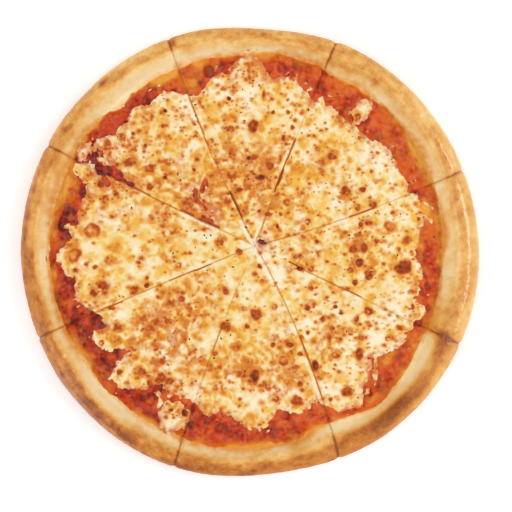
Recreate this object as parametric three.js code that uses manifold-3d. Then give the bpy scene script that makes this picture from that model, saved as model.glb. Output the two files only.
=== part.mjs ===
// Margherita pizza, cut into eight slices that still lie together as a whole.
// Each slice is bread, sauce and cheese; loose pats of cheese lie on the sauce.
// Millimetres, +Z up. The origin is the middle of the flat underside.

import * as THREE from 'three';
import { mergeVertices } from 'three/addons/utils/BufferGeometryUtils.js';
import Module from 'manifold-3d';

const wasm = await Module();
wasm.setup();

// ---- Driving dimensions -------------------------------------------------

const PIZZA_RADIUS = 150.4; // outer edge of the rim, before its flats
const RIM_WIDTH = 18.6; // from the outer edge in to the foot of the rim
const RIM_HEIGHT = 16.5; // crest above the underside
const RIM_WAIST = 7.0; // height at which the rim is widest
const BREAD_MIDDLE = 3.6; // thickness of the bread under the middle
const BREAD_FOOT = 4.2; // thickness of the bread at the foot of the rim
const LAYER_GAP = 0.3; // clearance between two layers
const SAUCE_THICK = 1.0;
const CHEESE_THICK = 2.6;
const CHEESE_REACH = 113; // usual radius of the cheese's edge
const KERF = 0.8; // width of a cut
const HUB = new THREE.Vector2(4, 4); // where the eight cuts meet

const SAUCE_FLOOR = BREAD_FOOT + LAYER_GAP;
const CHEESE_FLOOR = SAUCE_FLOOR + SAUCE_THICK + LAYER_GAP;
const CUTTER_DEPTH = 5; // how far a cutter reaches past the solid it cuts
const CUTTER_REACH = 170; // how far a cutter reaches from the middle

const CRUST_STEPS = 96; // facets round the crust
const SAUCE_STEPS = 90;
const CHEESE_STEPS = 180;
const PAT_STEPS = 20;
const CUT_STEPS = 5; // straight stretches in one bowed cut

// A swell is a smooth bump in a radius: at = its direction and half = its
// half-width, both in degrees, and reach = how far it pushes outward in mm.

// The rim is flattened where it met its neighbours in the oven.
const OUTLINE_SWELLS = [
  { at: 86, half: 15, reach: -3.5 },
  { at: 195, half: 12, reach: -0.8 },
  { at: 279, half: 18, reach: -3.8 },
  { at: 345, half: 24, reach: 1.3 },
];

// Extra width of the rim, measured inward.
const RIM_SWELLS = [
  { at: 8, half: 30, reach: 5.0 },
  { at: 63, half: 5, reach: 4.0 },
  { at: 83, half: 8, reach: -3.0 },
  { at: 152, half: 10, reach: -1.6 },
  { at: 212, half: 6, reach: 3.0 },
  { at: 293, half: 8, reach: 6.0 },
  { at: 345, half: 16, reach: 4.0 },
];

// Rise and fall of the crest round the rim.
const CREST_SWELLS = [
  { at: 15, half: 40, reach: 1.2 },
  { at: 90, half: 16, reach: -1.6 },
  { at: 135, half: 20, reach: 0.8 },
  { at: 222, half: 30, reach: 1.0 },
  { at: 275, half: 20, reach: -1.8 },
  { at: 320, half: 12, reach: 0.9 },
];

// Tongues and bays in the edge of the melted cheese.
const CHEESE_SWELLS = [
  { at: 1, half: 4, reach: -6 },
  { at: 12, half: 3, reach: 5 },
  { at: 45, half: 3, reach: -5 },
  { at: 54, half: 6, reach: -5 },
  { at: 66, half: 4, reach: -5 },
  { at: 78, half: 4, reach: 3 },
  { at: 90, half: 3.4, reach: 16 },
  { at: 100, half: 3, reach: 3 },
  { at: 108, half: 3, reach: -5 },
  { at: 121, half: 8, reach: 7 },
  { at: 134, half: 2, reach: 4 },
  { at: 142, half: 4, reach: 9 },
  { at: 155, half: 2.4, reach: 17 },
  { at: 161, half: 4, reach: 1.5 },
  { at: 173, half: 5, reach: 5 },
  { at: 182, half: 4, reach: 13 },
  { at: 193, half: 4, reach: 4 },
  { at: 204.5, half: 2.6, reach: -8 },
  { at: 211, half: 3, reach: 6 },
  { at: 217.6, half: 1.4, reach: -6 },
  { at: 225, half: 4.6, reach: 12 },
  { at: 235.5, half: 2, reach: -6 },
  { at: 245, half: 6, reach: -7 },
  { at: 257, half: 5, reach: -11 },
  { at: 271.5, half: 4, reach: 7 },
  { at: 280, half: 2.6, reach: -6 },
  { at: 284, half: 4, reach: -4 },
  { at: 294, half: 2, reach: -5 },
  { at: 304, half: 6, reach: 10.5 },
  { at: 318, half: 1.8, reach: -8 },
  { at: 331, half: 6, reach: 4.5 },
  { at: 340, half: 2.6, reach: 5 },
  { at: 357.5, half: 2.4, reach: -4 },
];

// The cuts, anticlockwise: at = direction of the rim end from the middle,
// bow = how far the middle of the cut strays sideways, anticlockwise.
const CUTS = [
  { at: 20.9, bow: -3.4 },
  { at: 67.4, bow: 1.6 },
  { at: 110.9, bow: 2.8 },
  { at: 152.2, bow: 0.8 },
  { at: 202.2, bow: -1.0 },
  { at: 250.7, bow: -2.4 },
  { at: 293.4, bow: 5.4 },
  { at: 336.3, bow: -0.6 },
];

// Pats of cheese that melted apart from the rest, each a rounded patch.
const PATS = [
  { at: 51.4, radius: 118.2, across: 6.0, along: 9.6 },
  { at: 148.6, radius: 127.4, across: 6.8, along: 4.6 },
  { at: 246.0, radius: 119.4, across: 7.8, along: 8.8 },
];
const PAT_THICK = 2.2;

const COLOURS = { crust: 0xe0ab62, sauce: 0xb8371a, cheese: 0xf3dc9f };

// ---- Outlines as functions of the direction in degrees ------------------

const radians = THREE.MathUtils.degToRad;

function swollen(degrees, swells) {
  let sum = 0;
  for (const { at, half, reach } of swells) {
    const away = THREE.MathUtils.euclideanModulo(degrees - at + 180, 360) - 180;
    sum += reach * Math.exp(-((away / half) ** 2));
  }
  return sum;
}

const outerEdge = (degrees) => PIZZA_RADIUS + swollen(degrees, OUTLINE_SWELLS);

const rimFoot = (degrees) => outerEdge(degrees) - RIM_WIDTH - swollen(degrees, RIM_SWELLS);

const crestLift = (degrees) => 1 + swollen(degrees, CREST_SWELLS) / RIM_HEIGHT;

const sauceEdge = (degrees) => rimFoot(degrees) - 2 * LAYER_GAP;

function cheeseEdge(degrees) {
  const reach = CHEESE_REACH + swollen(degrees, CHEESE_SWELLS);
  return Math.min(reach, sauceEdge(degrees));
}

function polar(degrees, radius) {
  const angle = radians(degrees);
  return new THREE.Vector2(radius * Math.cos(angle), radius * Math.sin(angle));
}

// The outline's box isn't centred on the middle that the radii start from.
const outlineBox = new THREE.Box2();
for (let step = 0; step < CRUST_STEPS; step++) {
  const degrees = (step * 360) / CRUST_STEPS;
  outlineBox.expandByPoint(polar(degrees, outerEdge(degrees)));
}
const MIDDLE = outlineBox.getCenter(new THREE.Vector2());

// ---- Solids -------------------------------------------------------------

// A manifold solid of a closed three.js geometry.
function solidOf(geometry) {
  const bare = geometry.clone();
  bare.deleteAttribute('normal');
  bare.deleteAttribute('uv');
  const merged = mergeVertices(bare, 1e-4);
  return new wasm.Manifold(new wasm.Mesh({
    numProp: 3,
    vertProperties: Float32Array.from(merged.attributes.position.array),
    triVerts: Uint32Array.from(merged.index.array),
  }));
}

function geometryOf(solid) {
  const mesh = solid.getMesh();
  const geometry = new THREE.BufferGeometry();
  geometry.setAttribute('position', new THREE.BufferAttribute(mesh.vertProperties, 3));
  geometry.setIndex(new THREE.BufferAttribute(mesh.triVerts, 1));
  geometry.computeVertexNormals();
  return geometry;
}

// A turned disc whose rings are then moved: place(degrees, radius, height)
// gives the new radius and height of each point of the turned profile.
function disc(profile, steps, place) {
  const geometry = new THREE.LatheGeometry(profile, steps);
  geometry.rotateX(Math.PI / 2);
  const position = geometry.attributes.position;
  for (let index = 0; index < position.count; index++) {
    const x = position.getX(index);
    const y = position.getY(index);
    const degrees = THREE.MathUtils.radToDeg(Math.atan2(y, x));
    const placed = place(degrees, Math.hypot(x, y), position.getZ(index));
    const point = polar(degrees, placed.radius);
    position.setXYZ(index, point.x, point.y, placed.height);
  }
  return solidOf(geometry);
}

// The bread: a flat disc with a raised, rounded rim. In the profile, radius
// 0 to 1 runs from the middle to the rim's foot, 1 to 2 across the rim.
function breadSolid() {
  const profile = new THREE.Path();
  profile.moveTo(0, 0);
  profile.lineTo(0.9, 0);
  profile.lineTo(1.62, 0);
  profile.bezierCurveTo(1.86, 0, 2.0, 0.4 * RIM_WAIST, 2.0, RIM_WAIST);
  profile.bezierCurveTo(2.0, 0.8 * RIM_HEIGHT, 1.8, RIM_HEIGHT, 1.5, RIM_HEIGHT);
  profile.bezierCurveTo(1.25, RIM_HEIGHT, 1.16, 0.42 * RIM_HEIGHT, 1.0, BREAD_FOOT);
  profile.lineTo(0.8, BREAD_FOOT);
  profile.lineTo(0, BREAD_MIDDLE);
  return disc(profile.getPoints(6), CRUST_STEPS, (degrees, radius, height) => {
    const foot = rimFoot(degrees);
    const width = outerEdge(degrees) - foot;
    const rimShare = Math.max(radius - 1, 0);
    const lift = 1 + (crestLift(degrees) - 1) * Math.sin(Math.PI * rimShare);
    return { radius: foot * Math.min(radius, 1) + width * rimShare, height: height * lift };
  });
}

// A flat layer from the middle out to edge(degrees), with a rounded lip.
function layerSolid(edge, floor, thick, steps) {
  const reach = CHEESE_REACH;
  const profile = new THREE.Path();
  profile.moveTo(0, floor);
  profile.lineTo(reach - 0.3 * thick, floor);
  profile.lineTo(reach, floor + 0.35 * thick);
  profile.lineTo(reach - 0.35 * thick, floor + 0.8 * thick);
  profile.lineTo(reach - thick, floor + thick);
  profile.lineTo(0, floor + thick);
  return disc(profile.getPoints(1), steps, (degrees, radius, height) => ({
    radius: (radius * edge(degrees)) / reach,
    height,
  }));
}

// A low rounded pat: a dome on a flat underside, longer along the radius.
function patSolid({ at, radius, across, along }) {
  const dome = new THREE.Path();
  dome.moveTo(0, 0);
  dome.lineTo(0.92, 0);
  dome.bezierCurveTo(1.04, 0.3 * PAT_THICK, 0.9, PAT_THICK, 0.5, PAT_THICK);
  dome.lineTo(0, PAT_THICK);
  const geometry = new THREE.LatheGeometry(dome.getPoints(3), PAT_STEPS);
  geometry.rotateX(Math.PI / 2);
  geometry.scale(along, across, 1);
  geometry.rotateZ(radians(at));
  const place = polar(at, radius);
  geometry.translate(place.x, place.y, CHEESE_FLOOR);
  return solidOf(geometry);
}

// ---- Cutters ------------------------------------------------------------

// Points of one bowed cut, from the hub out to past the rim.
function cutPoints({ at, bow }) {
  const end = polar(at, outerEdge(at));
  const course = end.clone().sub(HUB).normalize();
  const sideways = new THREE.Vector2(-course.y, course.x);
  const middle = HUB.clone().lerp(end, 0.5).addScaledVector(sideways, 2 * bow);
  const points = new THREE.QuadraticBezierCurve(HUB, middle, end).getPoints(CUT_STEPS);
  points.push(end.clone().addScaledVector(course, CUTTER_REACH - PIZZA_RADIUS));
  return points;
}

function prism(outline) {
  const depth = RIM_HEIGHT + 3 * CUTTER_DEPTH;
  const geometry = new THREE.ExtrudeGeometry(new THREE.Shape(outline), {
    depth,
    bevelEnabled: false,
  });
  geometry.translate(0, 0, -CUTTER_DEPTH);
  return solidOf(geometry);
}

// The blade of the cutter wheel: a thin ribbon along one cut.
function blade(cut) {
  const points = cutPoints(cut);
  const left = [];
  const right = [];
  points.forEach((point, index) => {
    const before = points[Math.max(index - 1, 0)];
    const after = points[Math.min(index + 1, points.length - 1)];
    const course = after.clone().sub(before).normalize();
    const sideways = new THREE.Vector2(-course.y, course.x);
    left.push(point.clone().addScaledVector(sideways, KERF / 2));
    right.push(point.clone().addScaledVector(sideways, -KERF / 2));
  });
  return prism([...right, ...left.reverse()]);
}

// The room of one slice, between one cut and the next.
function wedge(cut, nextCut) {
  const first = cutPoints(cut);
  const last = cutPoints(nextCut).slice(1).reverse();
  return prism([...first, ...last]);
}

// ---- Assembly -----------------------------------------------------------

const blades = CUTS.map(blade).reduce((joined, next) => joined.add(next));
const bread = breadSolid().subtract(blades);
const sauce = layerSolid(sauceEdge, SAUCE_FLOOR, SAUCE_THICK, SAUCE_STEPS).subtract(blades);
const pats = PATS.map(patSolid);
const cheese = layerSolid(cheeseEdge, CHEESE_FLOOR, CHEESE_THICK, CHEESE_STEPS).subtract(blades);

const group = new THREE.Group();

function addMesh(name, solid, colour, roughness) {
  const material = new THREE.MeshStandardMaterial({ color: colour, roughness, metalness: 0 });
  const geometry = geometryOf(solid);
  geometry.translate(-MIDDLE.x, -MIDDLE.y, 0);
  const mesh = new THREE.Mesh(geometry, material);
  mesh.name = name;
  group.add(mesh);
}

CUTS.forEach((cut, index) => {
  const room = wedge(cut, CUTS[(index + 1) % CUTS.length]);
  const number = index + 1;
  addMesh(`crust_${number}`, bread.intersect(room), COLOURS.crust, 0.6);
  addMesh(`sauce_${number}`, sauce.intersect(room), COLOURS.sauce, 0.35);
  addMesh(`cheese_${number}`, cheese.intersect(room), COLOURS.cheese, 0.4);
});

pats.forEach((pat, index) => {
  addMesh(`cheese_pat_${index + 1}`, pat, COLOURS.cheese, 0.4);
});

export default group;
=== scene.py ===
"""Margherita pizza, cut into eight slices that still lie together.

Every slice is built in three layers, bread, sauce and cheese, as closed surfaces worked out with numpy.
The browning, oil and curds are fields over the whole pizza, worked out once and carried by the surfaces
as attributes, which the materials read. Lengths in this file are in millimetres unless a name says otherwise.
"""

import math

import bpy
import numpy as np
from bpy.props import FloatProperty, FloatVectorProperty, IntProperty, PointerProperty
from bpy.types import Operator, Panel, PropertyGroup
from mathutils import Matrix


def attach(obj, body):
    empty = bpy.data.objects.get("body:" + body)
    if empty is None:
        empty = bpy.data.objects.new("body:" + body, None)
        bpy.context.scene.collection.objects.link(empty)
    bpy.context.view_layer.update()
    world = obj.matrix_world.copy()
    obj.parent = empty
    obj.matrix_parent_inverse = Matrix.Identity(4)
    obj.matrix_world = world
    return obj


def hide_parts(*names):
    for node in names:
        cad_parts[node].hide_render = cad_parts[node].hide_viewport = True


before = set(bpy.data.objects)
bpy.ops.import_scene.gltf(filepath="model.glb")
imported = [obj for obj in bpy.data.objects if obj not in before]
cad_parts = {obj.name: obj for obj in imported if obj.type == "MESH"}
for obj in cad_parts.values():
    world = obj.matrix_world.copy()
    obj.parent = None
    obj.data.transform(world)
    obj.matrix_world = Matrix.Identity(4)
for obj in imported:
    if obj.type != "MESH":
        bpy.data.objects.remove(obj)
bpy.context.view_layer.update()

bl_info = {
    "name": "Margherita Pizza",
    "version": (1, 0, 0),
    "blender": (4, 5, 0),
    "location": "3D View > Sidebar > Pizza",
    "description": "Builds a sliced margherita pizza from bread, sauce, cheese and herbs",
    "category": "Add Mesh",
}

MM = 0.001
SLICES = 8

# ---- the pizza's plan: angles in degrees anticlockwise from +X, lengths in mm ----

PIZZA_RADIUS = 150.4
RIM_WIDTH = 18.6
RIM_HEIGHT = 16.5
RIM_WAIST = 7.0
BREAD_MIDDLE = 3.6
BREAD_FOOT = 4.2
UNDER_FLAT = 0.62  # share of the rim's width that rests flat
HUB = np.array((4.0, 4.0))

# A swell is (direction, half-width, reach): a smooth bump in a length that depends on the direction.
OUTLINE_SWELLS = ((86, 15, -3.5), (195, 12, -0.8), (279, 18, -3.8), (345, 24, 1.3))
RIM_SWELLS = (
    (8, 30, 5.0), (63, 5, 4.0), (83, 8, -3.0), (152, 10, -1.6), (212, 6, 3.0), (293, 8, 6.0),
    (345, 16, 4.0),
)
SAUCE_EDGE_SWELLS = (
    (120, 20, -2.4), (158, 9, -2.2), (236, 18, -1.8), (330, 13, -2.8), (52, 6, -1.5), (70, 5, 0.8),
    (22, 14, 0.8), (350, 5, 1.4), (190, 12, 0.6), (284, 8, 1.2), (131.5, 3.5, -3.6), (301, 6, -2.2),
    (5, 6, 2.0), (341, 7, 2.6),
)
CREST_SWELLS = (
    (15, 40, 1.2), (90, 16, -1.6), (135, 20, 0.8), (222, 30, 1.0), (275, 20, -1.8), (320, 12, 0.9),
)
# Outer edge of the cheese: direction and reach, joined by straight runs with rounded corners.
CHEESE_EDGE = (
    (0, 109), (3, 111), (8, 114), (10, 117), (14, 119), (17, 118), (20, 113), (22, 114), (30, 112),
    (38, 114), (42, 110), (46, 107), (55, 107.5), (60, 110), (63, 110), (67, 107.5), (70, 111),
    (74, 115), (78, 118), (80, 115), (84, 117), (85.4, 121), (86.6, 127), (90, 128.5), (94, 127),
    (96, 124.5), (97.5, 119.5), (100, 118.5), (103, 117.5), (108, 108), (113, 113), (117, 119),
    (121, 120.5), (124, 116), (127, 120), (131, 122), (133, 117.5), (136, 120), (138.5, 117.5),
    (141, 121), (143, 125.5), (145, 125), (147, 117), (151, 116), (153, 128), (155, 130), (156.5, 122),
    (158.5, 114.5), (161, 113), (165, 115), (168, 116), (170, 115), (173, 117.5), (177, 120),
    (180, 127.5), (183, 128.5), (185, 124), (187, 120), (189, 117.5), (194, 118), (198, 115),
    (202, 108), (205, 105.5), (207.5, 116), (210, 119), (213, 118), (216, 112), (218, 106), (220, 117),
    (222, 122), (226, 125.5), (229, 121), (233, 114), (235.5, 108.5), (237, 111), (239, 121),
    (240.4, 122), (241.6, 107), (250, 106), (252, 108), (255, 112), (258, 111.5), (261, 108),
    (262, 108), (265, 110), (267, 114), (270, 118), (272, 119), (275, 116.5), (278, 111), (280, 106),
    (283, 108), (287, 110.5), (290, 111), (293, 107.5), (296, 110), (298, 119), (301, 123.5),
    (303, 123), (306, 125.5), (309, 120.5), (311, 116), (314, 112.5), (317, 107.5), (318.5, 104),
    (320, 111), (323, 112), (326, 115.5), (329, 118), (332, 117.5), (335, 118), (337, 116), (339, 122),
    (342, 122.5), (343.5, 119), (345, 117), (347, 116), (349.5, 115), (352, 116), (355, 113),
    (357, 110),
)

# Each cut: direction of its rim end, and how far its middle strays sideways.
CUTS = (
    (20.9, -3.4), (67.4, 1.6), (110.9, 2.8), (152.2, 0.8), (202.2, -1.0), (250.7, -2.4), (293.4, 5.4),
    (336.3, -0.6),
)

# How the cuts show in the cheese: cut, side (-1 clockwise, 1 anticlockwise, 0 both), start and end in mm
# from the hub, width in mm, and how dark it is painted there: painted shade in the cut's crease, with tomato
# showing as well where the cut is wide.
SEAMS = (
    (1, 0, 5, 32, 0.6, 0.34), (1, 0, 35, 64, 0.6, 0.30), (1, 0, 64, 84, 0.8, 0.55),
    (1, 0, 84, 108, 0.5, 0.2), (2, 0, 10, 32, 0.6, 0.42), (2, 1, 38, 62, 1.1, 0.8),
    (2, -1, 42, 54, 1.2, 0.7), (2, 0, 60, 76, 0.9, 0.56), (2, 0, 78, 100, 0.5, 0.22),
    (3, 0, 8, 22, 0.7, 0.4), (3, -1, 20, 40, 1.8, 0.8), (3, 0, 40, 64, 0.6, 0.4),
    (3, 1, 66, 80, 1.3, 0.56), (3, 0, 80, 108, 0.7, 0.5), (4, 0, 8, 26, 0.5, 0.3),
    (4, -1, 26, 42, 2.6, 0.74), (4, -1, 44, 55, 3.0, 0.64), (4, 0, 56, 78, 0.7, 0.46),
    (4, -1, 76, 112, 1.8, 0.6), (5, 0, 12, 32, 0.6, 0.34), (5, 1, 31, 44, 1.3, 0.66),
    (5, 0, 42, 62, 0.8, 0.5), (5, 0, 62, 94, 0.6, 0.36), (5, 1, 94, 106, 1.5, 0.6),
    (5, 0, 104, 118, 0.7, 0.42), (6, 0, 18, 54, 0.4, 0.2), (6, 0, 54, 76, 0.7, 0.42),
    (6, 0, 76, 94, 0.6, 0.36), (7, 0, 0, 26, 0.5, 0.34), (7, 0, 26, 66, 0.6, 0.36),
    (7, 0, 66, 92, 0.9, 0.56), (7, 0, 92, 112, 0.8, 0.5), (8, 1, 24, 36, 1.6, 0.66),
    (8, 0, 34, 66, 0.6, 0.4), (8, 1, 64, 78, 1.0, 0.62), (8, 0, 78, 114, 0.5, 0.22),
)

# Edges that stand up beside a cut, painted paler along them as a highlight: cut, side, start and end in mm
# from the hub, how strong.
LIPS = (
    (7, -1, 1, 27, 1.0), (2, 1, 0, 14, 0.8), (2, 1, 56, 67, 0.8), (3, 1, 0, 20, 0.9),
    (3, 1, 58, 76, 0.5), (3, 1, 80, 110, 0.9), (4, 1, 0, 11, 0.8), (4, 1, 25, 56, 0.9),
    (5, -1, 30, 60, 0.4), (1, -1, 20, 64, 0.35), (8, -1, 40, 70, 0.4), (6, -1, 90, 108, 0.4),
    (7, -1, 82, 110, 0.9), (5, -1, 100, 118, 0.5),
)

# Loose pats of cheese: direction, radius, half-width across, half-width along the radius.
PATS = ((51.4, 118.2, 6.0, 9.6), (148.6, 127.4, 6.8, 4.6), (245.2, 119.6, 10.0, 11.0))

# ---- what the oven did: places in mm from the middle ----

# Raised brown bubbles: x, y, width, depth, tone from 0.3 (amber) to 1 (nearly black).
BLISTERS = (
    (2, 83, 8, 10, 0.78), (-13, 81, 7, 6, 0.6), (-56, 93, 3.2, 2.6, 0.95), (-57, 83, 4, 3, 0.8),
    (-66, 55, 8, 7, 0.68), (-94, 72, 6, 5, 0.62), (-98, 45, 7, 6, 0.76), (-69, 70, 2.6, 2.6, 0.85),
    (-56, 49, 3.4, 3, 0.86), (-66, 43, 6, 5, 0.7), (-96, 35, 8, 6.5, 0.6), (-88, 38, 4, 4, 0.7),
    (-93, -6, 8, 7, 0.5), (-98.5, -24, 15, 13, 0.48), (-97, -22, 7, 7, 0.76), (-103, -27, 6, 6, 0.7),
    (-76, -25, 8, 7, 0.66), (-102, -10, 4, 4, 0.6), (-108, -8, 3, 3, 0.7), (-68, -17, 3, 3, 0.7),
    (-68, -22, 4, 4, 0.76), (-91, -37, 5, 3, 0.7), (-87, -49, 6.5, 6, 0.66), (-87, -57, 4, 4, 0.6),
    (-79, -64, 6, 5, 0.6), (-84, -67, 5, 3, 0.86), (-86, -79, 5, 4, 0.68), (-81, -86, 4, 4, 0.6),
    (-71, -79, 6.5, 6, 0.7), (-66, -86, 5, 5, 0.72), (-53, -85, 6.5, 5.5, 0.72),
    (-58.7, -82.5, 7, 8, 0.7), (-58, -72, 5, 5, 0.6), (-62, -63, 5, 5, 0.6), (-66, -50, 7, 6, 0.58),
    (-54, -46, 6, 5, 0.58), (-43, -57, 4, 4, 0.58), (-52, -104, 3.4, 2.6, 0.92),
    (-43, -106, 5, 6, 0.86), (-50, -96, 6, 4, 0.8), (-55, -93, 4, 4, 0.8), (-53, -34, 8, 7, 0.6),
    (-45, -31, 6, 5, 0.62), (-30, -42, 5, 5, 0.5), (-16, -49, 8, 9, 0.66), (-2, -49, 4, 3.4, 0.7),
    (-23, -67, 5, 4, 0.64), (-32, -71, 6, 5, 0.64), (-37, -64, 5, 4, 0.56), (-26, -75, 4, 4, 0.55),
    (-20, -76, 4, 4, 0.55), (-6, -80.5, 8, 5.5, 0.66), (-3, -72, 6, 4, 0.66), (3, -81.5, 7, 10, 0.86),
    (9, -88, 6, 4, 0.66), (26, -61, 7, 4, 0.82), (15, -61, 4, 4, 0.66), (33, -67, 4, 4, 0.72),
    (34, -56, 3, 3, 0.7), (38, -53, 3, 3, 0.76), (17, -97, 6, 6, 0.54), (31, -98, 9, 8, 0.72),
    (33, -87, 5, 4, 0.72), (30, -76, 6, 3, 0.66), (-23, -90, 4, 4, 0.56), (43, -75, 5, 8, 0.84),
    (72, -67, 7, 9.5, 0.74), (64, -92, 8, 8, 0.76), (56, -68, 7, 5, 0.62), (53, -97, 3.2, 3, 0.82),
    (48, -44, 4, 5, 0.72), (54, -50, 4, 4, 0.66), (52, -57, 4, 6, 0.64), (59, -58, 4, 4, 0.66),
    (73, -56, 5, 5, 0.58), (66, -53, 4, 4, 0.54), (70, -44, 4, 6, 0.6), (60, -40, 3.4, 3.4, 0.72),
    (78, -39, 7.5, 6.5, 0.66), (91, -57, 5, 4, 0.56), (99, -50, 4.6, 4, 0.6), (46, -83, 4, 4, 0.52),
    (81, -78, 3, 3, 0.62), (38, -37, 4.4, 4, 0.74), (40, -24, 4.6, 4.6, 0.62), (16, -36, 5, 5, 0.62),
    (-9, -28, 4, 4, 0.54), (-16, -26, 4.4, 6, 0.7), (-4, -37, 4, 4, 0.52), (7, -9, 5, 4, 0.84),
    (8, -19, 3.4, 3.4, 0.66), (26, -12, 5, 5, 0.52), (33, -11, 7, 3, 0.84), (32, -3, 8, 4, 0.62),
    (18, 17, 2.6, 4, 0.82), (-7, 0, 6, 5, 0.7), (-20, 7, 7, 9, 0.6), (12, 25, 5, 4, 0.74),
    (20, 25, 3, 3, 0.72), (6, 27, 3, 3, 0.8), (25, 11, 3, 3, 0.6), (35, 10, 4, 4, 0.58),
    (38, 20, 5, 5, 0.54), (24, 33, 6, 5, 0.56), (-15, 33, 6, 5, 0.62), (-7, 41, 6, 3.4, 0.86),
    (-25, 50, 5, 4, 0.56), (-35, 61, 3.2, 3, 0.84), (-37, 54, 3, 3, 0.76), (-1, 62, 3.4, 3, 0.88),
    (3, 63, 6, 4, 0.68), (13, 57, 6, 7, 0.74), (7, 49, 8, 4.4, 0.9), (22, 75, 3, 5, 0.84),
    (28, 82, 3, 4, 0.74), (20, 62, 2.4, 5, 0.74), (15, 92, 2.8, 2.8, 0.84), (25, 92, 3.2, 3.2, 0.66),
    (-17, 88, 4, 5, 0.54), (-26, 73, 6, 4, 0.58), (-12, 66, 7, 7, 0.62), (-20, 97, 4, 4, 0.52),
    (-10, 109, 5, 4, 0.54), (9, 104, 2.4, 6, 0.66), (-14, 101, 3.2, 3.2, 0.92), (-36, 85, 6, 4, 0.72),
    (-36, 76, 4, 4, 0.5), (54, 63, 7, 6, 0.68), (48, 52, 5, 4, 0.58), (44, 68, 4, 4, 0.58),
    (63, 40, 7, 9, 0.66), (63, 42, 4, 3, 0.84), (74, 41, 6, 4, 0.72), (80, 53, 3, 3, 0.66),
    (66, 88, 5, 7, 0.9), (71, 89, 5, 5, 0.66), (81, 31, 6, 5, 0.7), (78, 19, 6, 4, 0.7),
    (73, 18, 4, 4, 0.74), (71, 29, 4, 6, 0.66), (94, 26, 4, 4, 0.54), (111, 22, 3, 3, 0.76),
    (103, 8, 5, 6, 0.64), (68, 2, 6, 7, 0.76), (75, 3, 6, 8, 0.7), (72, -7, 7, 6, 0.8),
    (66, -12, 5, 5, 0.66), (78, -15, 6, 8, 0.74), (69, -20, 5, 4, 0.82), (101, -10, 13, 11, 0.8),
    (83, 7, 3, 4, 0.7), (98, 2, 3, 3, 0.66), (72, 12, 4, 3.4, 0.72), (60, 10, 3, 4, 0.56),
    (44, 7, 3.4, 3, 0.7), (46, 14, 4, 4, 0.54), (56, -36, 3.4, 3, 0.86), (60, -39, 3, 3, 0.7),
    (40, -11, 5, 5, 0.6), (106, -26, 5, 4, 0.62), (107, -36, 3, 5, 0.62), (-26, -104, 14, 8, 0.40),
    (-31, -108, 3, 2.6, 0.86), (-19, -107, 3.6, 3, 0.84), (4, -41, 9.5, 9, 0.72),
    (-9, -63, 6, 7, 0.62), (-67, 89, 9, 8, 0.52), (-84, 76, 5.6, 5, 0.56), (-112, -22, 5, 5, 0.44),
    (62, -24, 9, 3, 0.58), (95, -57, 3, 3, 0.6), (-65, 23, 4.6, 4.6, 0.58), (-55, 24, 7, 6, 0.52),
    (-41.5, 33, 8, 8, 0.6), (-77, 78, 3, 3, 0.8), (-69, 70, 3, 3, 0.8), (-79, 59, 8.5, 7.5, 0.64),
    (-54, -6, 5, 4, 0.52), (-47, -9, 5, 5, 0.56), (-45, 80, 3.4, 3.4, 0.5), (-54, 75, 5, 4, 0.54),
)

# Bubbles that burst: amber inside, darker round the edge, and painted paler in the middle as a glint: x, y,
# across, tone.
RINGS = (
    (-116, -2, 12, 0.66), (-104, 14, 13, 0.6), (92, 17, 9, 0.6), (22, -71.5, 8.5, 0.7),
    (-98, -60, 5, 0.6),
)

# Smooth amber pools of butterfat: x, y, across.
AMBER_POOLS = (
    (-55, 58, 9), (-52, 71, 10), (-53, 98, 6), (-46, 2, 13), (-57, -12, 8), (-75, 14, 12),
    (-88, 5, 11), (-60, 8, 10), (-48, 16, 9), (-88, 33, 9), (-74, 22, 7), (-79, -4, 5), (-85, -12, 6),
    (-28, -47, 9), (10, -53, 8), (38, -79, 11), (-15, -64, 8), (-22, -82, 6), (60, -82, 10),
    (52, -5, 13), (57, -12, 9), (-5, -62, 8), (4, -105, 5), (44, 50, 12), (50, 66, 10), (14, 74, 10),
    (-25, 92, 13), (12, 88, 9), (-30, 56, 9), (30, 50, 12), (24, 22, 10), (-18, -11, 7), (104, 10, 8),
    (36, 72, 9), (-38, -26, 8), (-66, 34, 12), (-80, 42, 8), (78, -33, 8), (40, 16, 10), (-74, -84, 6),
    (112, 9, 7), (-60, -54, 9), (-44, -46, 9), (-10, 90, 6), (14, -45, 5), (-30, 22, 6), (84, -22, 5),
    (38, -95, 5),
)

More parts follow.
